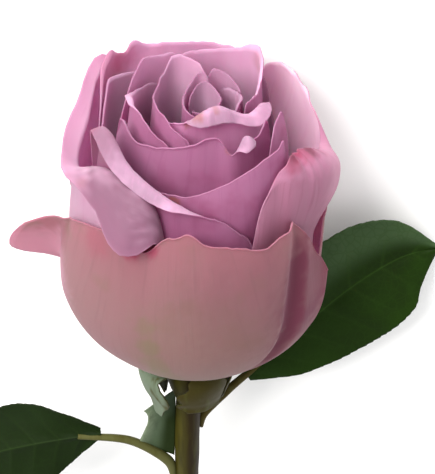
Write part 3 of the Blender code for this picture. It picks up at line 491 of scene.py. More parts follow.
backOuter = dict(
    level=0.845, seed=6, lipShare=0.12, opensAt=0.70, frill=0.6,
    blush=[(-126, 68, 4.5, 0.35), (-136, 68, 3.5, 0.3)], rim=[
    (134, 48, 0, 0, 0), (142, 61, 1.2, 0.5, 20), (152, 66, 2.2, 1, 30),
    (163, 67.5, 3.2, 1, 30), (175, 67.8, 3.6, 1, 30), (188, 68, 3.7, 1, 30),
    (200, 68.3, 3.7, 1, 30), (210, 68.8, 3.8, 1, 30), (217, 70.1, 3.9, 1.5, 30),
    (222, 68.4, 3.5, 1, 30), (228, 69.5, 3.4, 1, 30), (233, 70.3, 3.5, 1.5, 35),
    (238, 68, 3.3, 2, 45), (242, 64.5, 2.6, 1.8, 45), (246, 57, 1.2, 0.8, 20),
    (250, 46, 0, 0, 0)])
makePetal("petal_back_outer", backOuter)

frontRolled = dict(
    level=0.84, seed=7, lipShare=0.22, tight=0.6, frill=0.25, finishes=rolledPair,
    greens=[(-62, 66.5, 6.5, 0.7)], blush=[(-63, 67.4, 1.6, 0.3), (-56, 65.5, 1.4, 0.25)], rim=[
    (-76, 40, 0, 0.5, 20), (-72, 54, 0.2, 1.5, 60), (-66, 65.5, 0.9, 4, 100),
    (-58, 67.5, 1.3, 5.4, 122), (-49, 66, 1.3, 6, 136), (-39, 62.7, 1.2, 5.6, 140),
    (-29, 60.7, 1.1, 5.2, 140), (-20, 59, 1.1, 4.8, 135), (-12, 57.4, 1.2, 4, 120),
    (-4, 56, 1.3, 2.4, 95), (4, 54.8, 1.4, 1.2, 50), (12, 53.2, 1.4, 0.8, 20),
    (20, 50, 0.9, 0.8, 20), (28, 46, 0.3, 0.8, 20), (34, 34, 0, 0.5, 20)])
makePetal("petal_front_rolled", frontRolled)

leftMid = dict(level=0.775, seed=8, lipShare=0.12, opensAt=0.65, root=0.75, rim=[
    (-84, 40, 0, 0, 0), (-93, 51, 0.5, 0.5, 20), (-102, 57.5, 1.0, 0.5, 20),
    (-110, 62, 1.8, 0.8, 30), (-116, 66, 2.6, 1, 40), (-124, 66, 2.6, 1, 40),
    (-133, 65.5, 2.0, 0.8, 30), (-143, 65.5, 1.7, 0.5, 20), (-153, 64.5, 1.4, 0.5, 20),
    (-162, 59, 0.8, 0.5, 20), (-169, 46, 0, 0, 0)])
makePetal("petal_left_mid", leftMid)

frontDeep = dict(
    level=0.765, seed=9, lipShare=0.10, opensAt=0.62, frill=0.2,
    brown=[(-16, 57.1, 0.7, 0.8), (-13, 56.6, 0.6, 0.9), (-11, 55.4, 0.5, 0.8)], rim=[
    (-78, 40, 0, 0, 0), (-68, 54, 0, 0.3, 10), (-56, 59.5, 0, 0.5, 20),
    (-42, 59, -0.1, 0.5, 20), (-28, 57.5, -0.1, 0.5, 20), (-17, 57.5, 0.2, 0.5, 20),
    (-6, 58, 0.7, 0.5, 20), (5, 60, 1.5, 0.6, 20), (15, 62.3, 2.4, 0.6, 20),
    (25, 64.7, 3.2, 0.6, 20), (35, 66.7, 3.7, 0.8, 20), (43, 67.8, 3.9, 0.8, 20),
    (47, 69.5, 4.1, 0.5, 20), (51, 62, 2.9, 0.3, 10), (56, 44, 0, 0, 0)])
makePetal("petal_front_deep", frontDeep)

rightCurl = dict(level=0.71, seed=10, lipShare=0.12, tight=0.7, rim=[
    (40, 42, 0, 0, 0), (44, 57, 0.6, 0.3, 10), (48, 65, 1.1, 0.4, 20),
    (52, 69, 1.1, 0.6, 30), (57, 71.2, 0.9, 0.6, 30), (63, 72, 0.7, 0.6, 30),
    (68, 70, 0.6, 0.4, 20), (74, 63, 0.4, 0.3, 10), (80, 48, 0.2, 0, 0)])
makePetal("petal_right_curl", rightCurl)

backRight = dict(seed=11, lipShare=0.12, brown=[(138, 71, 2.2, 0.3)], rim=[
    (63, 50, 9.9, 0, 0), (67, 64, 9.9, 0.3, 10), (72, 69.5, 10.0, 0.4, 20),
    (80, 70.5, 10.4, 0.5, 30), (92, 69.8, 11.1, 1, 50), (105, 69.8, 12.3, 1.2, 60),
    (118, 70.5, 14.3, 1.5, 60), (132, 72, 17.3, 1.8, 60), (145, 72.5, 20.2, 2, 50),
    (157, 71, 20.4, 1, 30), (170, 70, 20.0, 1, 30), (182, 69.5, 19.4, 1, 30),
    (194, 69, 18.8, 0.8, 30), (204, 64, 18.7, 0.5, 20), (212, 48, 18.7, 0, 0)])
makePetal("petal_back_right", backRight)

backLeft = dict(seed=12, lipShare=0.10, rim=[
    (-90, 48, 17.4, 0, 0), (-100, 59, 17.4, 0.3, 10), (-109, 65.5, 17.2, 0.5, 20),
    (-118, 70.5, 17.1, 0.5, 20), (-126, 72.6, 17.2, 0.6, 20), (-136, 72.3, 17.3, 0.6, 20),
    (-148, 71.4, 17.3, 0.6, 20), (-159, 70.7, 17.2, 0.5, 20), (-166, 65, 17.1, 0.3, 10),
    (-172, 50, 17.1, 0, 0)])
makePetal("petal_back_left", backLeft)

frontFolded = dict(
    seed=13, lipShare=0.14, frill=0.25, finishes=rolledPair, brown=[(21, 66.5, 0.8, 0.35)], rim=[
    (-86, 50, 17.5, 0, 0), (-77, 62, 18.0, 0.5, 20), (-68, 67.3, 18.0, 1.5, 60),
    (-60, 65.6, 17.4, 1.2, 50), (-52, 64.2, 17.0, 1, 40), (-42, 64.4, 16.5, 1, 30),
    (-31, 65, 16.0, 1, 30), (-20, 65.6, 15.5, 1.2, 40), (-8, 66.4, 15.0, 1.5, 50),
    (2, 67.8, 15.0, 2, 60), (10, 68.3, 15.0, 2, 60), (15, 67.6, 15.3, 1.2, 40),
    (19, 66.2, 15.8, 0.6, 20), (23, 65, 16.2, 0.6, 20), (26, 65.2, 16.3, 1.4, 60),
    (29, 66.2, 16.2, 4.2, 130), (33, 67.8, 16.0, 5.8, 148), (37, 67.6, 16.0, 4.4, 140),
    (41, 66.8, 16.0, 1.4, 60), (48, 67.2, 16.0, 0.8, 30), (54, 68.6, 16.1, 1, 40),
    (58, 69.6, 16.2, 0.8, 30), (62, 66.5, 16.3, 0.5, 20), (67, 50, 16.3, 0, 0)])
makePetal("petal_front_folded", frontFolded)

leftPale = dict(seed=14, lipShare=0.14, tight=0.7, rim=[
    (-16, 46, 13.0, 0, 0), (-24, 59, 13.0, 0.3, 10), (-32, 64, 13.1, 0.5, 20),
    (-43, 65.5, 13.6, 0.6, 20), (-54, 67.4, 14.3, 0.7, 30), (-64, 68.6, 14.7, 1, 50),
    (-76, 69, 15.0, 1.6, 85), (-88, 69.1, 15.4, 2.2, 100), (-97, 68.2, 15.4, 1.4, 80),
    (-108, 67.4, 15.3, 0.8, 40), (-122, 66.9, 15.0, 0.5, 20), (-136, 66.3, 14.9, 0.5, 20),
    (-147, 61, 15.3, 0.3, 10), (-155, 46, 15.8, 0, 0)])
makePetal("petal_left_pale", leftPale)

leftInner = dict(seed=15, lipShare=0.10, tight=0.7, rim=[
    (0, 46, 11.4, 0, 0), (-6, 59, 11.4, 0.3, 10), (-13, 65, 11.5, 0.5, 20),
    (-24, 66.4, 11.5, 0.6, 20), (-36, 67.8, 11.3, 0.6, 20), (-50, 69.2, 11.0, 0.7, 30),
    (-68, 69.4, 10.6, 0.7, 30), (-88, 68.8, 10.5, 0.6, 30), (-108, 67.8, 11.0, 0.5, 20),
    (-124, 67.6, 12.0, 0.5, 20), (-138, 69, 13.2, 0.6, 20), (-149, 71.8, 13.9, 0.8, 30),
    (-158, 72.6, 13.9, 0.8, 30), (-169, 71.6, 12.8, 0.6, 20), (-179, 70.5, 11.8, 0.5, 20),
    (-187, 64, 11.2, 0.3, 10), (-193, 48, 11.0, 0, 0)])
makePetal("petal_left_inner", leftInner)

frontInner = dict(
    seed=16, lipShare=0.20, tight=0.6, frill=0.25, root=0.30, finishes=(litOutside, insideSkin),
    brown=[(-8, 71, 1.3, 0.55), (-20, 68.2, 0.8, 0.7), (20, 72, 0.6, 0.4)], rim=[
    (-88, 48, 8.4, 0, 0), (-76, 60, 8.6, 0.3, 10), (-60, 65.6, 8.8, 0.4, 20),
    (-42, 67, 8.8, 0.6, 30), (-26, 67.8, 8.5, 1.2, 60), (-14, 68.8, 7.7, 3, 120),
    (-2, 69.8, 7.0, 5.2, 148), (12, 70.6, 6.7, 6, 152), (27, 71, 6.9, 6, 152),
    (41, 70.2, 8.0, 5.4, 150), (53, 69, 9.6, 5.2, 148), (63, 68.6, 11.0, 5.4, 142),
    (73, 69.2, 12.0, 4.8, 120), (84, 68.8, 12.5, 3, 80), (95, 66, 13.0, 1, 30),
    (104, 60, 13.7, 0.5, 10), (111, 48, 14.4, 0, 0)])
makePetal("petal_front_inner", frontInner)

backInner = dict(seed=17, lipShare=0.10, tight=0.7, finishes=rolledPair, rim=[
    (185, 50, 9.4, 0, 0), (178, 65, 9.5, 0.3, 10), (170, 70.5, 9.7, 0.5, 20),
    (160, 71.5, 9.8, 0.5, 20), (149, 71, 9.8, 0.5, 20), (137, 70, 9.7, 0.5, 20),
    (124, 68.5, 9.7, 0.5, 20), (112, 64, 9.7, 0.3, 10), (103, 50, 9.7, 0, 0)])
makePetal("petal_back_inner", backInner)

rightInner = dict(seed=18, lipShare=0.14, tight=0.6, finishes=rolledPair, rim=[
    (166, 50, 7.4, 0, 0), (157, 64, 7.4, 0.3, 10), (147, 67.8, 7.8, 0.5, 20),
    (135, 68.6, 8.2, 0.6, 30), (120, 68.8, 8.4, 0.8, 40), (105, 69.1, 8.4, 0.8, 40),
    (90, 70, 8.3, 1, 50), (76, 70.2, 8.2, 1, 60), (65, 69, 7.8, 0.8, 40),
    (56, 62, 7.2, 0.3, 10), (49, 48, 6.8, 0, 0)])
makePetal("petal_right_inner", rightInner)

heartLeft = dict(seed=19, lipShare=0.14, tight=0.7, frill=0.15, root=0.193, finishes=rolledPair, rim=[
    (12, 50, 4.8, 0, 0), (0, 64, 4.8, 0.3, 20), (-16, 67.2, 4.8, 0.6, 40),
    (-34, 67.8, 4.6, 0.8, 60), (-56, 68.4, 4.3, 0.8, 60), (-80, 68.8, 4.1, 0.6, 40),
    (-108, 69.2, 4.2, 0.5, 30), (-136, 70, 4.7, 0.4, 20), (-158, 71.3, 5.5, 0.4, 20),
    (-174, 72.4, 6.3, 0.4, 20), (-188, 71.8, 6.2, 0.4, 20), (-198, 65, 6.0, 0.2, 10),
    (-206, 50, 5.8, 0, 0)])
makePetal("petal_heart_left", heartLeft)

heartRight = dict(seed=20, lipShare=0.10, tight=0.7, frill=0.15, root=0.162, finishes=rolledPair, rim=[
    (282, 50, 2.9, 0, 0), (270, 61, 2.9, 0.1, 10), (252, 66.2, 3.0, 0.2, 10),
    (230, 68.4, 3.3, 0.2, 10), (208, 69.8, 3.8, 0.3, 20), (190, 70.8, 4.5, 0.3, 20),
    (172, 71.2, 4.7, 0.3, 20), (152, 70.6, 4.4, 0.3, 20), (130, 70, 4.1, 0.4, 20),
    (108, 69.6, 4.0, 0.4, 20), (86, 69.3, 3.9, 0.5, 30), (64, 67, 3.6, 0.3, 20),
    (48, 58, 3.3, 0, 0)])
makePetal("petal_heart_right", heartRight)

heartCore = dict(seed=21, lipShare=0.10, tight=0.7, frill=0.15, finishes=rolledPair, rim=[
    (-170, 50, 1.8, 0, 0), (-140, 64, 1.8, 0.2, 20), (-100, 66, 1.9, 0.3, 20),
    (-60, 66.5, 1.9, 0.3, 20), (-20, 67, 2.0, 0.3, 20), (20, 67, 2.0, 0.3, 20),
    (60, 66, 1.9, 0.2, 20), (95, 62, 1.8, 0.2, 10), (115, 50, 1.7, 0, 0)])
makePetal("petal_heart_core", heartCore)
print("petals done")


# Green bark of a young rose stem: smooth and waxy. Painted light and shade follow world x: lit olive on
# the left side, shaded brown on the right.
barkLook = dict(streakAlong=0.12, streakDetail=3.0, streakSpread=(0.45, 0.75, 1.0), strength=0.25,
                depth=0.0003, roughness=0.55, ior=1.45, specular=0.12)


def barkSkin(name, colours, streakScale, split=(-0.0042, -0.0016)):  # x where the painted shade starts and is full
    made, tree = blank(name)
    place = addNode(tree, "ShaderNodeTexCoord").outputs["Object"]
    across = addNode(tree, "ShaderNodeSeparateXYZ", None, {"Vector": place}).outputs["X"]
    stretch = addNode(tree, "ShaderNodeMapping", None, {
        "Vector": place, "Scale": (1.0, barkLook["streakAlong"], 1.0)}).outputs["Vector"]
    streaks = addNode(tree, "ShaderNodeTexNoise", None, {
        "Vector": stretch, "Scale": streakScale, "Detail": barkLook["streakDetail"]}).outputs["Fac"]
    colour = paintOver(tree, linear(colours["lit"]), [
        (across, colours["shade"], *split, 1.0), (streaks, colours["streak"], *barkLook["streakSpread"])])
    bump = addNode(tree, "ShaderNodeBump", None, {
        "Strength": barkLook["strength"], "Distance": barkLook["depth"], "Height": streaks})
    shader = addNode(tree, "ShaderNodeBsdfPrincipled", None, {
        "Base Color": colour, "Normal": bump.outputs["Normal"], "Roughness": barkLook["roughness"],
        "IOR": barkLook["ior"], "Specular IOR Level": barkLook["specular"]})
    addNode(tree, "ShaderNodeOutputMaterial", None, {"Surface": shader.outputs["BSDF"]})
    return made


# Streaks are 1.4 mm across at a scale of 700 and 2 mm at 500. Sepals are dull olive, paler inside, and
# like the bark turn to painted shade towards the right.
stemSkin = barkSkin("green_rose_bark", dict(lit="3C380E", shade="201602", streak="2E2A08"), 700.0)
sepalSkin = barkSkin("olive_sepal_leaf", dict(lit="3A3A1C", shade="2A2808", streak="302E0E"), 500.0)
sepalUnder = barkSkin("pale_downy_sepal_face", dict(lit="5E6A58", shade="322C0A", streak="3A3A14"), 500.0,
                      (-0.0085, -0.0060))

hip = dict(sides=48, domeStep=7, mergeWithin=0.00001, profile=[
    (0.0, -14.4), (2.4, -14.4), (3.0, -14.1), (3.1, -13.4), (3.5, -12.2), (4.5, -10.0), (5.4, -7.4),
    (5.8, -5.2), (5.9, -3.8), (6.5, -2.5), (7.9, -1.1), (8.75, -0.2)])


def makeHip():
    bm = bmesh.new()
    last = None
    arc = [(dome["radius"] * math.cos(math.radians(a)), dome["height"] * math.sin(math.radians(a)))
           for a in range(0, 90, hip["domeStep"])]
    for radius, z in hip["profile"] + arc + [(0.0, dome["height"])]:
        vert = bm.verts.new((radius * mm, 0.0, z * mm))
        if last:
            bm.edges.new((last, vert))
        last = vert
    bmesh.ops.spin(bm, geom=bm.verts[:] + bm.edges[:], cent=(0, 0, 0), axis=(0, 0, 1),
                   angle=2.0 * math.pi, steps=hip["sides"], use_merge=True)
    bmesh.ops.remove_doubles(bm, verts=bm.verts, dist=hip["mergeWithin"])
    bmesh.ops.recalc_face_normals(bm, faces=bm.faces)
    bmesh.ops.transform(bm, matrix=headToWorld, verts=bm.verts)
    finishPiece(bm, "rose_hip", [stemSkin], ["hip"])


makeHip()

# Sepals turned down over the hip; a rib row is radius, height and half width.
sepals = {
    "sepal_1": dict(angle=32.0, teeth=3.0, rib=[
        (7.7, -2.4, 3.6), (9.0, -4.2, 5.6), (9.0, -6.6, 7.2), (8.2, -9.2, 7.0),
        (7.4, -11.2, 6.3), (7.1, -12.7, 4.4)]),
    "sepal_2": dict(angle=-61.0, teeth=2.0, rib=[
        (7.7, -2.4, 3.2), (10.8, -1.8, 4.6), (12.3, -3.4, 5.8), (11.2, -7.5, 6.2),
        (9.4, -11.5, 4.8), (8.2, -15.5, 1.6)]),
    "sepal_3": dict(angle=102.0, teeth=2.0, rib=[
        (7.7, -2.4, 3.4), (9.6, -3.2, 4.4), (9.8, -6.0, 4.8), (8.6, -9.5, 4.0),
        (7.6, -13.0, 2.2), (7.0, -16.0, 0.5)]),
    "sepal_4": dict(angle=168.0, teeth=3.0, rib=[
        (7.7, -2.4, 3.4), (9.8, -2.8, 4.6), (10.4, -5.0, 5.0), (9.4, -9.0, 4.2),
        (8.2, -13.0, 2.4), (7.4, -17.0, 0.5)]),
    "sepal_5": dict(angle=-132.0, teeth=2.0, rib=[
        (7.7, -2.4, 3.4), (9.6, -2.6, 4.4), (10.6, -4.6, 4.8), (9.8, -8.5, 4.0),
        (8.4, -12.5, 2.2), (7.6, -16.0, 0.5)]),
}
sepalMake = dict(thickness=0.4, jag=0.10, cells=(24, 40), rough=0.10, roughClose=14.0,
                 wave=0.30, waveAcross=1.5, waveAlong=3.0, curl=0.5, curlAlong=5.0, firstSeed=30)


def makeSepal(node, sepal, seed):
    make = sepalMake
    bm = newSheet(make["cells"])[0]
    for vert in bm.verts:
        s, t = vert.co.x, (vert.co.y + 1.0) / 2.0
        radius, z, half = curveThrough(sepal["rib"], t)
        half *= 1.0 + make["jag"] * math.sin(t * sepal["teeth"] * 2.0 * math.pi) * abs(s)
        half *= 1.0 + make["rough"] * abs(s) ** 3 * wobble(t * make["roughClose"], s, seed)
        angle = math.radians(sepal["angle"]) + s * half / radius
        radius += make["wave"] * wobble(s * make["waveAcross"], t * make["waveAlong"], seed + 1)
        radius += make["curl"] * abs(s) ** 3 * wobble(t * make["curlAlong"], s, seed + 2)
        point = Vector((radius * math.sin(angle), -radius * math.cos(angle), z))
        vert.co = headToWorld @ (point * mm)
    piece = finishPiece(bm, "rose_" + node, [sepalSkin, sepalUnder], [node])
    giveThickness(piece, make["thickness"])


for number, (node, sepal) in enumerate(sepals.items()):
    makeSepal(node, sepal, sepalMake["firstSeed"] + number)

# Stem centre line from under the hip to the cut end: x, y, z and radius.
stem = dict(sides=40, rings=160, seed=40, line=[
    (-0.6, 0.0, -14.9, 3.05), (-0.9, 0.3, -22.0, 3.0), (-1.1, 1.2, -32.0, 2.95),
    (-1.3, 3.2, -45.0, 2.9), (-1.4, 6.6, -60.0, 2.9), (-1.3, 10.7, -75.0, 2.9),
    (-1.0, 14.1, -88.0, 2.9), (-0.6, 16.1, -100.0, 2.9), (0.0, 16.3, -112.0, 2.9),
    (0.6, 15.87, -122.0, 2.95)])
rodMake = dict(lumps=0.05, lumpsAcross=(300.0, 200.0), lumpsAlong=120.0, lookAhead=0.01)


def makeRod(name, line, rings, sides, seed, finishes, nodes):
    bm = bmesh.new()
    acrossX, acrossY = rodMake["lumpsAcross"]
    loops = []
    for i in range(rings + 1):
        here = curveThrough(line, i / rings)
        along = heading(line, i / rings, rodMake["lookAhead"])
        facing = Vector((0.0, 0.0, -1.0)).rotation_difference(along).to_matrix().to_4x4()
        matrix = Matrix.Translation(Vector(here[:3]) * mm) @ facing
        ring = bmesh.ops.create_circle(bm, segments=sides, radius=here[3] * mm, matrix=matrix)["verts"]
        for vert in ring:
            away = vert.co - Vector(here[:3]) * mm
            across = vert.co.x * acrossX + vert.co.y * acrossY
            lump = wobble(across, vert.co.z * rodMake["lumpsAlong"], seed)
            vert.co = vert.co + away * (rodMake["lumps"] * lump)
        loops.append([e for v in ring for e in v.link_edges])
    for here, there in zip(loops, loops[1:]):
        bmesh.ops.bridge_loops(bm, edges=list(set(here + there)))
    for loop in (loops[0], loops[-1]):
        bmesh.ops.contextual_create(bm, geom=list({v for e in loop for v in e.verts}))
    bmesh.ops.recalc_face_normals(bm, faces=bm.faces)
    bmesh.ops.transform(bm, matrix=flowerToWorld, verts=bm.verts)
    finishPiece(bm, name, finishes, nodes)


makeRod("rose_stem", stem["line"], stem["rings"], stem["sides"], stem["seed"], [stemSkin],
        ["stem"])
print("stem, hip and sepals done")


# Rose leaf: waxy dark green above, paler and matt below, with a fine net of veins. A grey band of
# painted sheen lies on the upper face; the left leaf's upper face is a darker painted-shade copy.
leafLook = dict(
    cloudScale=60.0, cloudDetail=3.0, cloudSpread=(0.40, 0.75, 1.0),  # 17 mm wide
    netScale=520.0, netSpread=(0.10, 0.0, 0.25), netStrength=0.25, netDepth=0.0002,  # 1.9 mm, to show
    veinStrength=0.5, veinDepth=0.0005, ior=1.45, specular=0.10)


def leafSkin(name, colours, roughness):
    made, tree = blank(name)
    look = leafLook
    place = addNode(tree, "ShaderNodeTexCoord").outputs["Object"]
    vein = addNode(tree, "ShaderNodeAttribute", {"attribute_name": "vein"}).outputs["Fac"]
    bloom = addNode(tree, "ShaderNodeAttribute", {"attribute_name": "bloom"}).outputs["Fac"]
    clouds = addNode(tree, "ShaderNodeTexNoise", None, {
        "Vector": place, "Scale": look["cloudScale"], "Detail": look["cloudDetail"]}).outputs["Fac"]
    net = addNode(tree, "ShaderNodeTexVoronoi", {"feature": "DISTANCE_TO_EDGE"}, {
        "Vector": place, "Scale": look["netScale"]}).outputs["Distance"]
    colour = paintOver(tree, linear(colours["face"]), [
        (clouds, colours["cloud"], *look["cloudSpread"]), (bloom, colours["bloom"]),
        (net, colours["net"], *look["netSpread"]), (vein, colours["vein"])])
    veinBump = addNode(tree, "ShaderNodeBump", None, {
        "Strength": look["veinStrength"], "Distance": look["veinDepth"], "Height": vein})
    netBump = addNode(tree, "ShaderNodeBump", None, {
        "Strength": look["netStrength"], "Distance": look["netDepth"], "Height": net,
        "Normal": veinBump.outputs["Normal"]})
    shader = addNode(tree, "ShaderNodeBsdfPrincipled", None, {
        "Base Color": colour, "Normal": netBump.outputs["Normal"], "Roughness": roughness,
        "IOR": look["ior"], "Specular IOR Level": look["specular"]})
    addNode(tree, "ShaderNodeOutputMaterial", None, {"Surface": shader.outputs["BSDF"]})
    return made


leafTop = leafSkin("waxy_leaf_upper_face", dict(
    face="162C00", cloud="102000", bloom="445A3C", net="1C3406", vein="2A4412"), 0.55)
shadedTop = leafSkin("shaded_leaf_upper_face", dict(
    face="0E1C02", cloud="0A1600", bloom="22321C", net="122404", vein="1E300C"), 0.60)
leafUnder = leafSkin("matt_leaf_under_face", dict(
    face="283A14", cloud="20300E", bloom="3C4C2E", net="30421C", vein="425632"), 0.60)
stalkSkin = barkSkin("green_leaf_stalk", dict(lit="4E4E2A", shade="3E3612", streak="464420"), 600.0)
# the stipule's vein tint is dark: it paints the shade where the stipule folds against the stem
stipuleSkin = leafSkin("pale_stipule", dict(
    face="465440", cloud="384830", bloom="6A7660", net="404E36", vein="182404"), 0.60)

# A rib row is x, y, z and half width, a stalk row x, y, z and radius; side points across the blade.
leaves = {
    "leaf_right": dict(fold=0.22, teeth=13, seed=50, sheen=0.55, finish=leafTop, rib=[
        (13.0, 6.2, -11.5, 2.0), (21.5, 9.8, -6.0, 8.5), (30.0, 13.8, 0.8, 13.2),
        (39.0, 16.0, 8.0, 14.5), (49.5, 19.0, 13.5, 11.5), (58.5, 20.5, 15.5, 0.7)],
        stalk=[(2.4, 1.1, -23.5, 0.4), (3.0, 1.7, -19.8, 1.1), (6.5, 3.2, -16.5, 1.1),
               (10.0, 4.9, -13.8, 1.0), (17.0, 7.9, -8.9, 0.7)],
        side=(-0.55, 0.10, 0.83)),
    "leaf_left": dict(fold=0.20, teeth=13, seed=51, sheen=0.12, finish=shadedTop, rib=[
        (-21.5, -3.4, -22.0, 1.0), (-28.0, -3.8, -22.8, 6.0), (-36.0, -3.2, -25.0, 10.0),
        (-44.5, -1.0, -29.0, 10.5), (-52.5, 3.0, -35.0, 7.5), (-59.0, 8.0, -42.0, 0.7)],
        stalk=[(-4.5, 0.9, -40.0, 0.5), (-5.3, 0.6, -34.2, 1.25), (-9.5, -1.0, -29.0, 1.1),
               (-16.0, -2.5, -24.4, 1.0), (-27.0, -3.8, -22.5, 0.7)],
        side=(0.15, 0.10, 0.98)),
}
leafMake = dict(thickness=0.45, jag=0.008, curl=0.10, ripple=0.5, rippleAlong=14.0, rippleAcross=2.0,
                pillow=0.25, pillowFull=0.2, cells=(72, 120), lookAhead=0.02, stalkRings=40, stalkSides=20)
leafVeins = dict(count=7, slant=0.9, ribWidth=0.035, ribShare=0.6, sideWidth=0.09, sideShare=0.22,
                 bloomAcross=(0.15, 0.5), bloomAlong=(0.2, 0.3))  # where the painted sheen starts, then its fade


def sideVein(s, t):  # counts the side veins, which leave the midrib towards the tip
    return t * leafVeins["count"] - abs(s) * leafVeins["slant"]


def leafPoint(leaf, s, t):
    make = leafMake
    here = curveThrough(leaf["rib"], t)
    along = heading(leaf["rib"], t, make["lookAhead"])
    across = Vector(leaf["side"])
    across = (across - across.dot(along) * along).normalized()
    face = along.cross(across).normalized()
    saw = (t * leaf["teeth"] * 2.0) % 1.0
    half = here[3] * (1.0 + make["jag"] * abs(s) ** 4 * (2.0 * saw - 1.0))
    lift = leaf["fold"] * half * abs(s) - make["curl"] * half * s * s
    ripple = make["ripple"] * math.sin(t * make["rippleAlong"] + s * make["rippleAcross"]) * abs(s)
    pillow = make["pillow"] * abs(math.sin(math.pi * sideVein(s, t)))
    pillow *= smoothStep(abs(s) / make["pillowFull"])
    return Vector(here[:3]) + across * (half * s) + face * (lift + ripple + pillow)


def makeLeaf(node, leaf):
    bm, layers = newSheet(leafMake["cells"], ("vein", "bloom"))
    for vert in bm.verts:
        s, t = vert.co.x, (vert.co.y + 1.0) / 2.0
        count = sideVein(s, t)
        nearest = abs(count - round(count))
        rib = leafVeins["ribShare"] * smoothStep(1.0 - abs(s) / leafVeins["ribWidth"])
        side = leafVeins["sideShare"] * smoothStep(1.0 - nearest / leafVeins["sideWidth"]) * (1.0 - abs(s))
        vert[layers["vein"]] = min(1.0, rib + side)
        # painted sheen: a grey band over one half of the upper face, fading in away from the blade's base
        start, fade = leafVeins["bloomAcross"]
        acrossShare = smoothStep((s - start) / fade)
        start, fade = leafVeins["bloomAlong"]
        vert[layers["bloom"]] = leaf["sheen"] * acrossShare * smoothStep((t - start) / fade)
        vert.co = flowerToWorld @ (leafPoint(leaf, s, t) * mm)
    if leaf["rib"][-1][0] > leaf["rib"][0][0]:  # the upper face of both leaves looks to the front
        bmesh.ops.reverse_faces(bm, faces=bm.faces)
    piece = finishPiece(bm, "rose_" + node, [leaf["finish"], leafUnder], [node])
    giveThickness(piece, leafMake["thickness"])
    makeRod("rose_" + node + "_stalk", leaf["stalk"], leafMake["stalkRings"], leafMake["stalkSides"],
            leaf["seed"], [stalkSkin], [])


for node, leaf in leaves.items():
    makeLeaf(node, leaf)

# Stipule along the left leaf's stalk: outer edge and inner edge, top to bottom.
stipule = dict(
    cells=(24, 40), thickness=0.4, bulge=0.9, wave=0.3, waveAcross=3.0, waveAlong=5.0, seed=60,
    outer=[(-11.2, -1.4, -16.8), (-10.2, -1.5, -18.4), (-10.7, -1.5, -21.6), (-12.9, -1.9, -26.6)],
    inner=[(-3.75, 1.5, -12.5), (-3.8, 1.5, -18.0), (-3.9, 1.5, -24.0), (-4.2, 1.2, -32.2)],
    shade=0.9, shadeAcross=(0.35, 0.4), shadeDown=(0.1, 0.5), pale=0.8, paleWidth=0.4)


def makeStipule():
    bm, layers = newSheet(stipule["cells"], ("vein", "bloom"))
    for vert in bm.verts:
        share, down = (vert.co.x + 1.0) / 2.0, 1.0 - (vert.co.y + 1.0) / 2.0
        outer = Vector(curveThrough(stipule["outer"], down))
        inner = Vector(curveThrough(stipule["inner"], down))
        # painted shade: the stipule darkens where it folds against the stem, kept in the vein layer
        start, fade = stipule["shadeAcross"]
        acrossShade = smoothStep((share - start) / fade)
        start, fade = stipule["shadeDown"]
        vert[layers["vein"]] = stipule["shade"] * acrossShade * smoothStep((down - start) / fade)
        vert[layers["bloom"]] = stipule["pale"] * smoothStep(1.0 - share / stipule["paleWidth"])
        wave = wobble(share * stipule["waveAcross"], down * stipule["waveAlong"], stipule["seed"])
        forward = stipule["bulge"] * share * (1.0 - share) + stipule["wave"] * wave
        point = outer.lerp(inner, share) + Vector((0.0, forward, 0.0))
        vert.co = flowerToWorld @ (point * mm)
    piece = finishPiece(bm, "rose_stipule", [stipuleSkin, leafUnder], [])
    giveThickness(piece, stipule["thickness"])


makeStipule()
print("leaves done")


# Photograph's view: over the front of the bloom, 35 degrees above its own horizon.
shot = dict(target=(6.25, 0.0, 32.8), elevation=35.0, distance=600.0, pixelsPerMm=4.4, imageHeight=474.0,
            nearest=0.01, farthest=10.0)


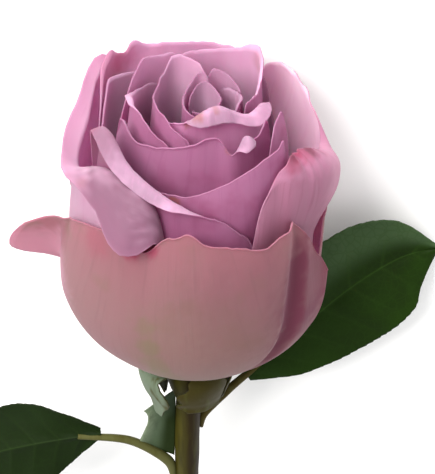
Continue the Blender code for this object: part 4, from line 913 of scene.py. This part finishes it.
def makeCamera():
    camera = bpy.data.cameras.new("camera")
    camera.lens = camera.sensor_width * shot["pixelsPerMm"] * shot["distance"] / shot["imageHeight"]
    camera.clip_start = shot["nearest"]
    camera.clip_end = shot["farthest"]
    holder = bpy.data.objects.new("camera", camera)
    bpy.context.scene.collection.objects.link(holder)
    lift = math.radians(shot["elevation"])
    back = Vector((0.0, -math.cos(lift), math.sin(lift)))
    up = Vector((0.0, math.sin(lift), math.cos(lift)))
    turn = Matrix((up.cross(back), up, back)).transposed().to_4x4()
    place = Matrix.Translation((Vector(shot["target"]) + back * shot["distance"]) * mm)
    holder.matrix_world = flowerToWorld @ place @ turn
    bpy.context.scene.camera = holder


makeCamera()

lampAim = (0.0, -0.01, 0.02)
lights = dict(
    key=dict(place=(-1.05, 1.35, 1.55), size=1.2, power=70.0, colour="FFFCF8"),
    fill=dict(place=(-0.30, 2.30, 0.60), size=1.4, power=30.0, colour="FFFFFF"))


def makeLight(name, light):
    lamp = bpy.data.lights.new(name, "AREA")
    lamp.shape = "SQUARE"
    lamp.size = light["size"]
    lamp.energy = light["power"]
    lamp.color = linear(light["colour"])[:3]
    holder = bpy.data.objects.new(name, lamp)
    holder.location = light["place"]
    aim = Vector(lampAim) - Vector(light["place"])
    holder.rotation_euler = aim.to_track_quat("-Z", "Y").to_euler()
    bpy.context.scene.collection.objects.link(holder)


for name, light in lights.items():
    makeLight(name, light)

surround = dict(colour="FFFFFF", strength=1.0)
world = bpy.data.worlds.new("studio")
world.use_nodes = True
background = world.node_tree.nodes["Background"]
background.inputs["Color"].default_value = linear(surround["colour"])
background.inputs["Strength"].default_value = surround["strength"]
bpy.context.scene.world = world
bpy.context.scene.view_settings.view_transform = "Standard"
bpy.context.scene.view_settings.look = "None"

# Matt white paper under the flower gives a soft shadow and no reflection.
stage = dict(size=3.0, colour="FCFCFC", drop=0.0001, roughness=0.9, specular=0.1)


def makeFloor():
    bm = bmesh.new()
    bmesh.ops.create_grid(bm, x_segments=1, y_segments=1, size=stage["size"])
    bmesh.ops.translate(bm, verts=bm.verts, vec=(0.0, 0.0, -stage["drop"]))
    mesh = bpy.data.meshes.new("floor")
    bm.to_mesh(mesh)
    bm.free()
    made, tree = blank("matt_white_paper")
    shader = addNode(tree, "ShaderNodeBsdfPrincipled", None, {
        "Base Color": linear(stage["colour"]), "Roughness": stage["roughness"],
        "Specular IOR Level": stage["specular"]})
    addNode(tree, "ShaderNodeOutputMaterial", None, {"Surface": shader.outputs["BSDF"]})
    mesh.materials.append(made)
    floor = bpy.data.objects.new("floor", mesh)
    bpy.context.scene.collection.objects.link(floor)


makeFloor()
print("camera, lights and floor done")
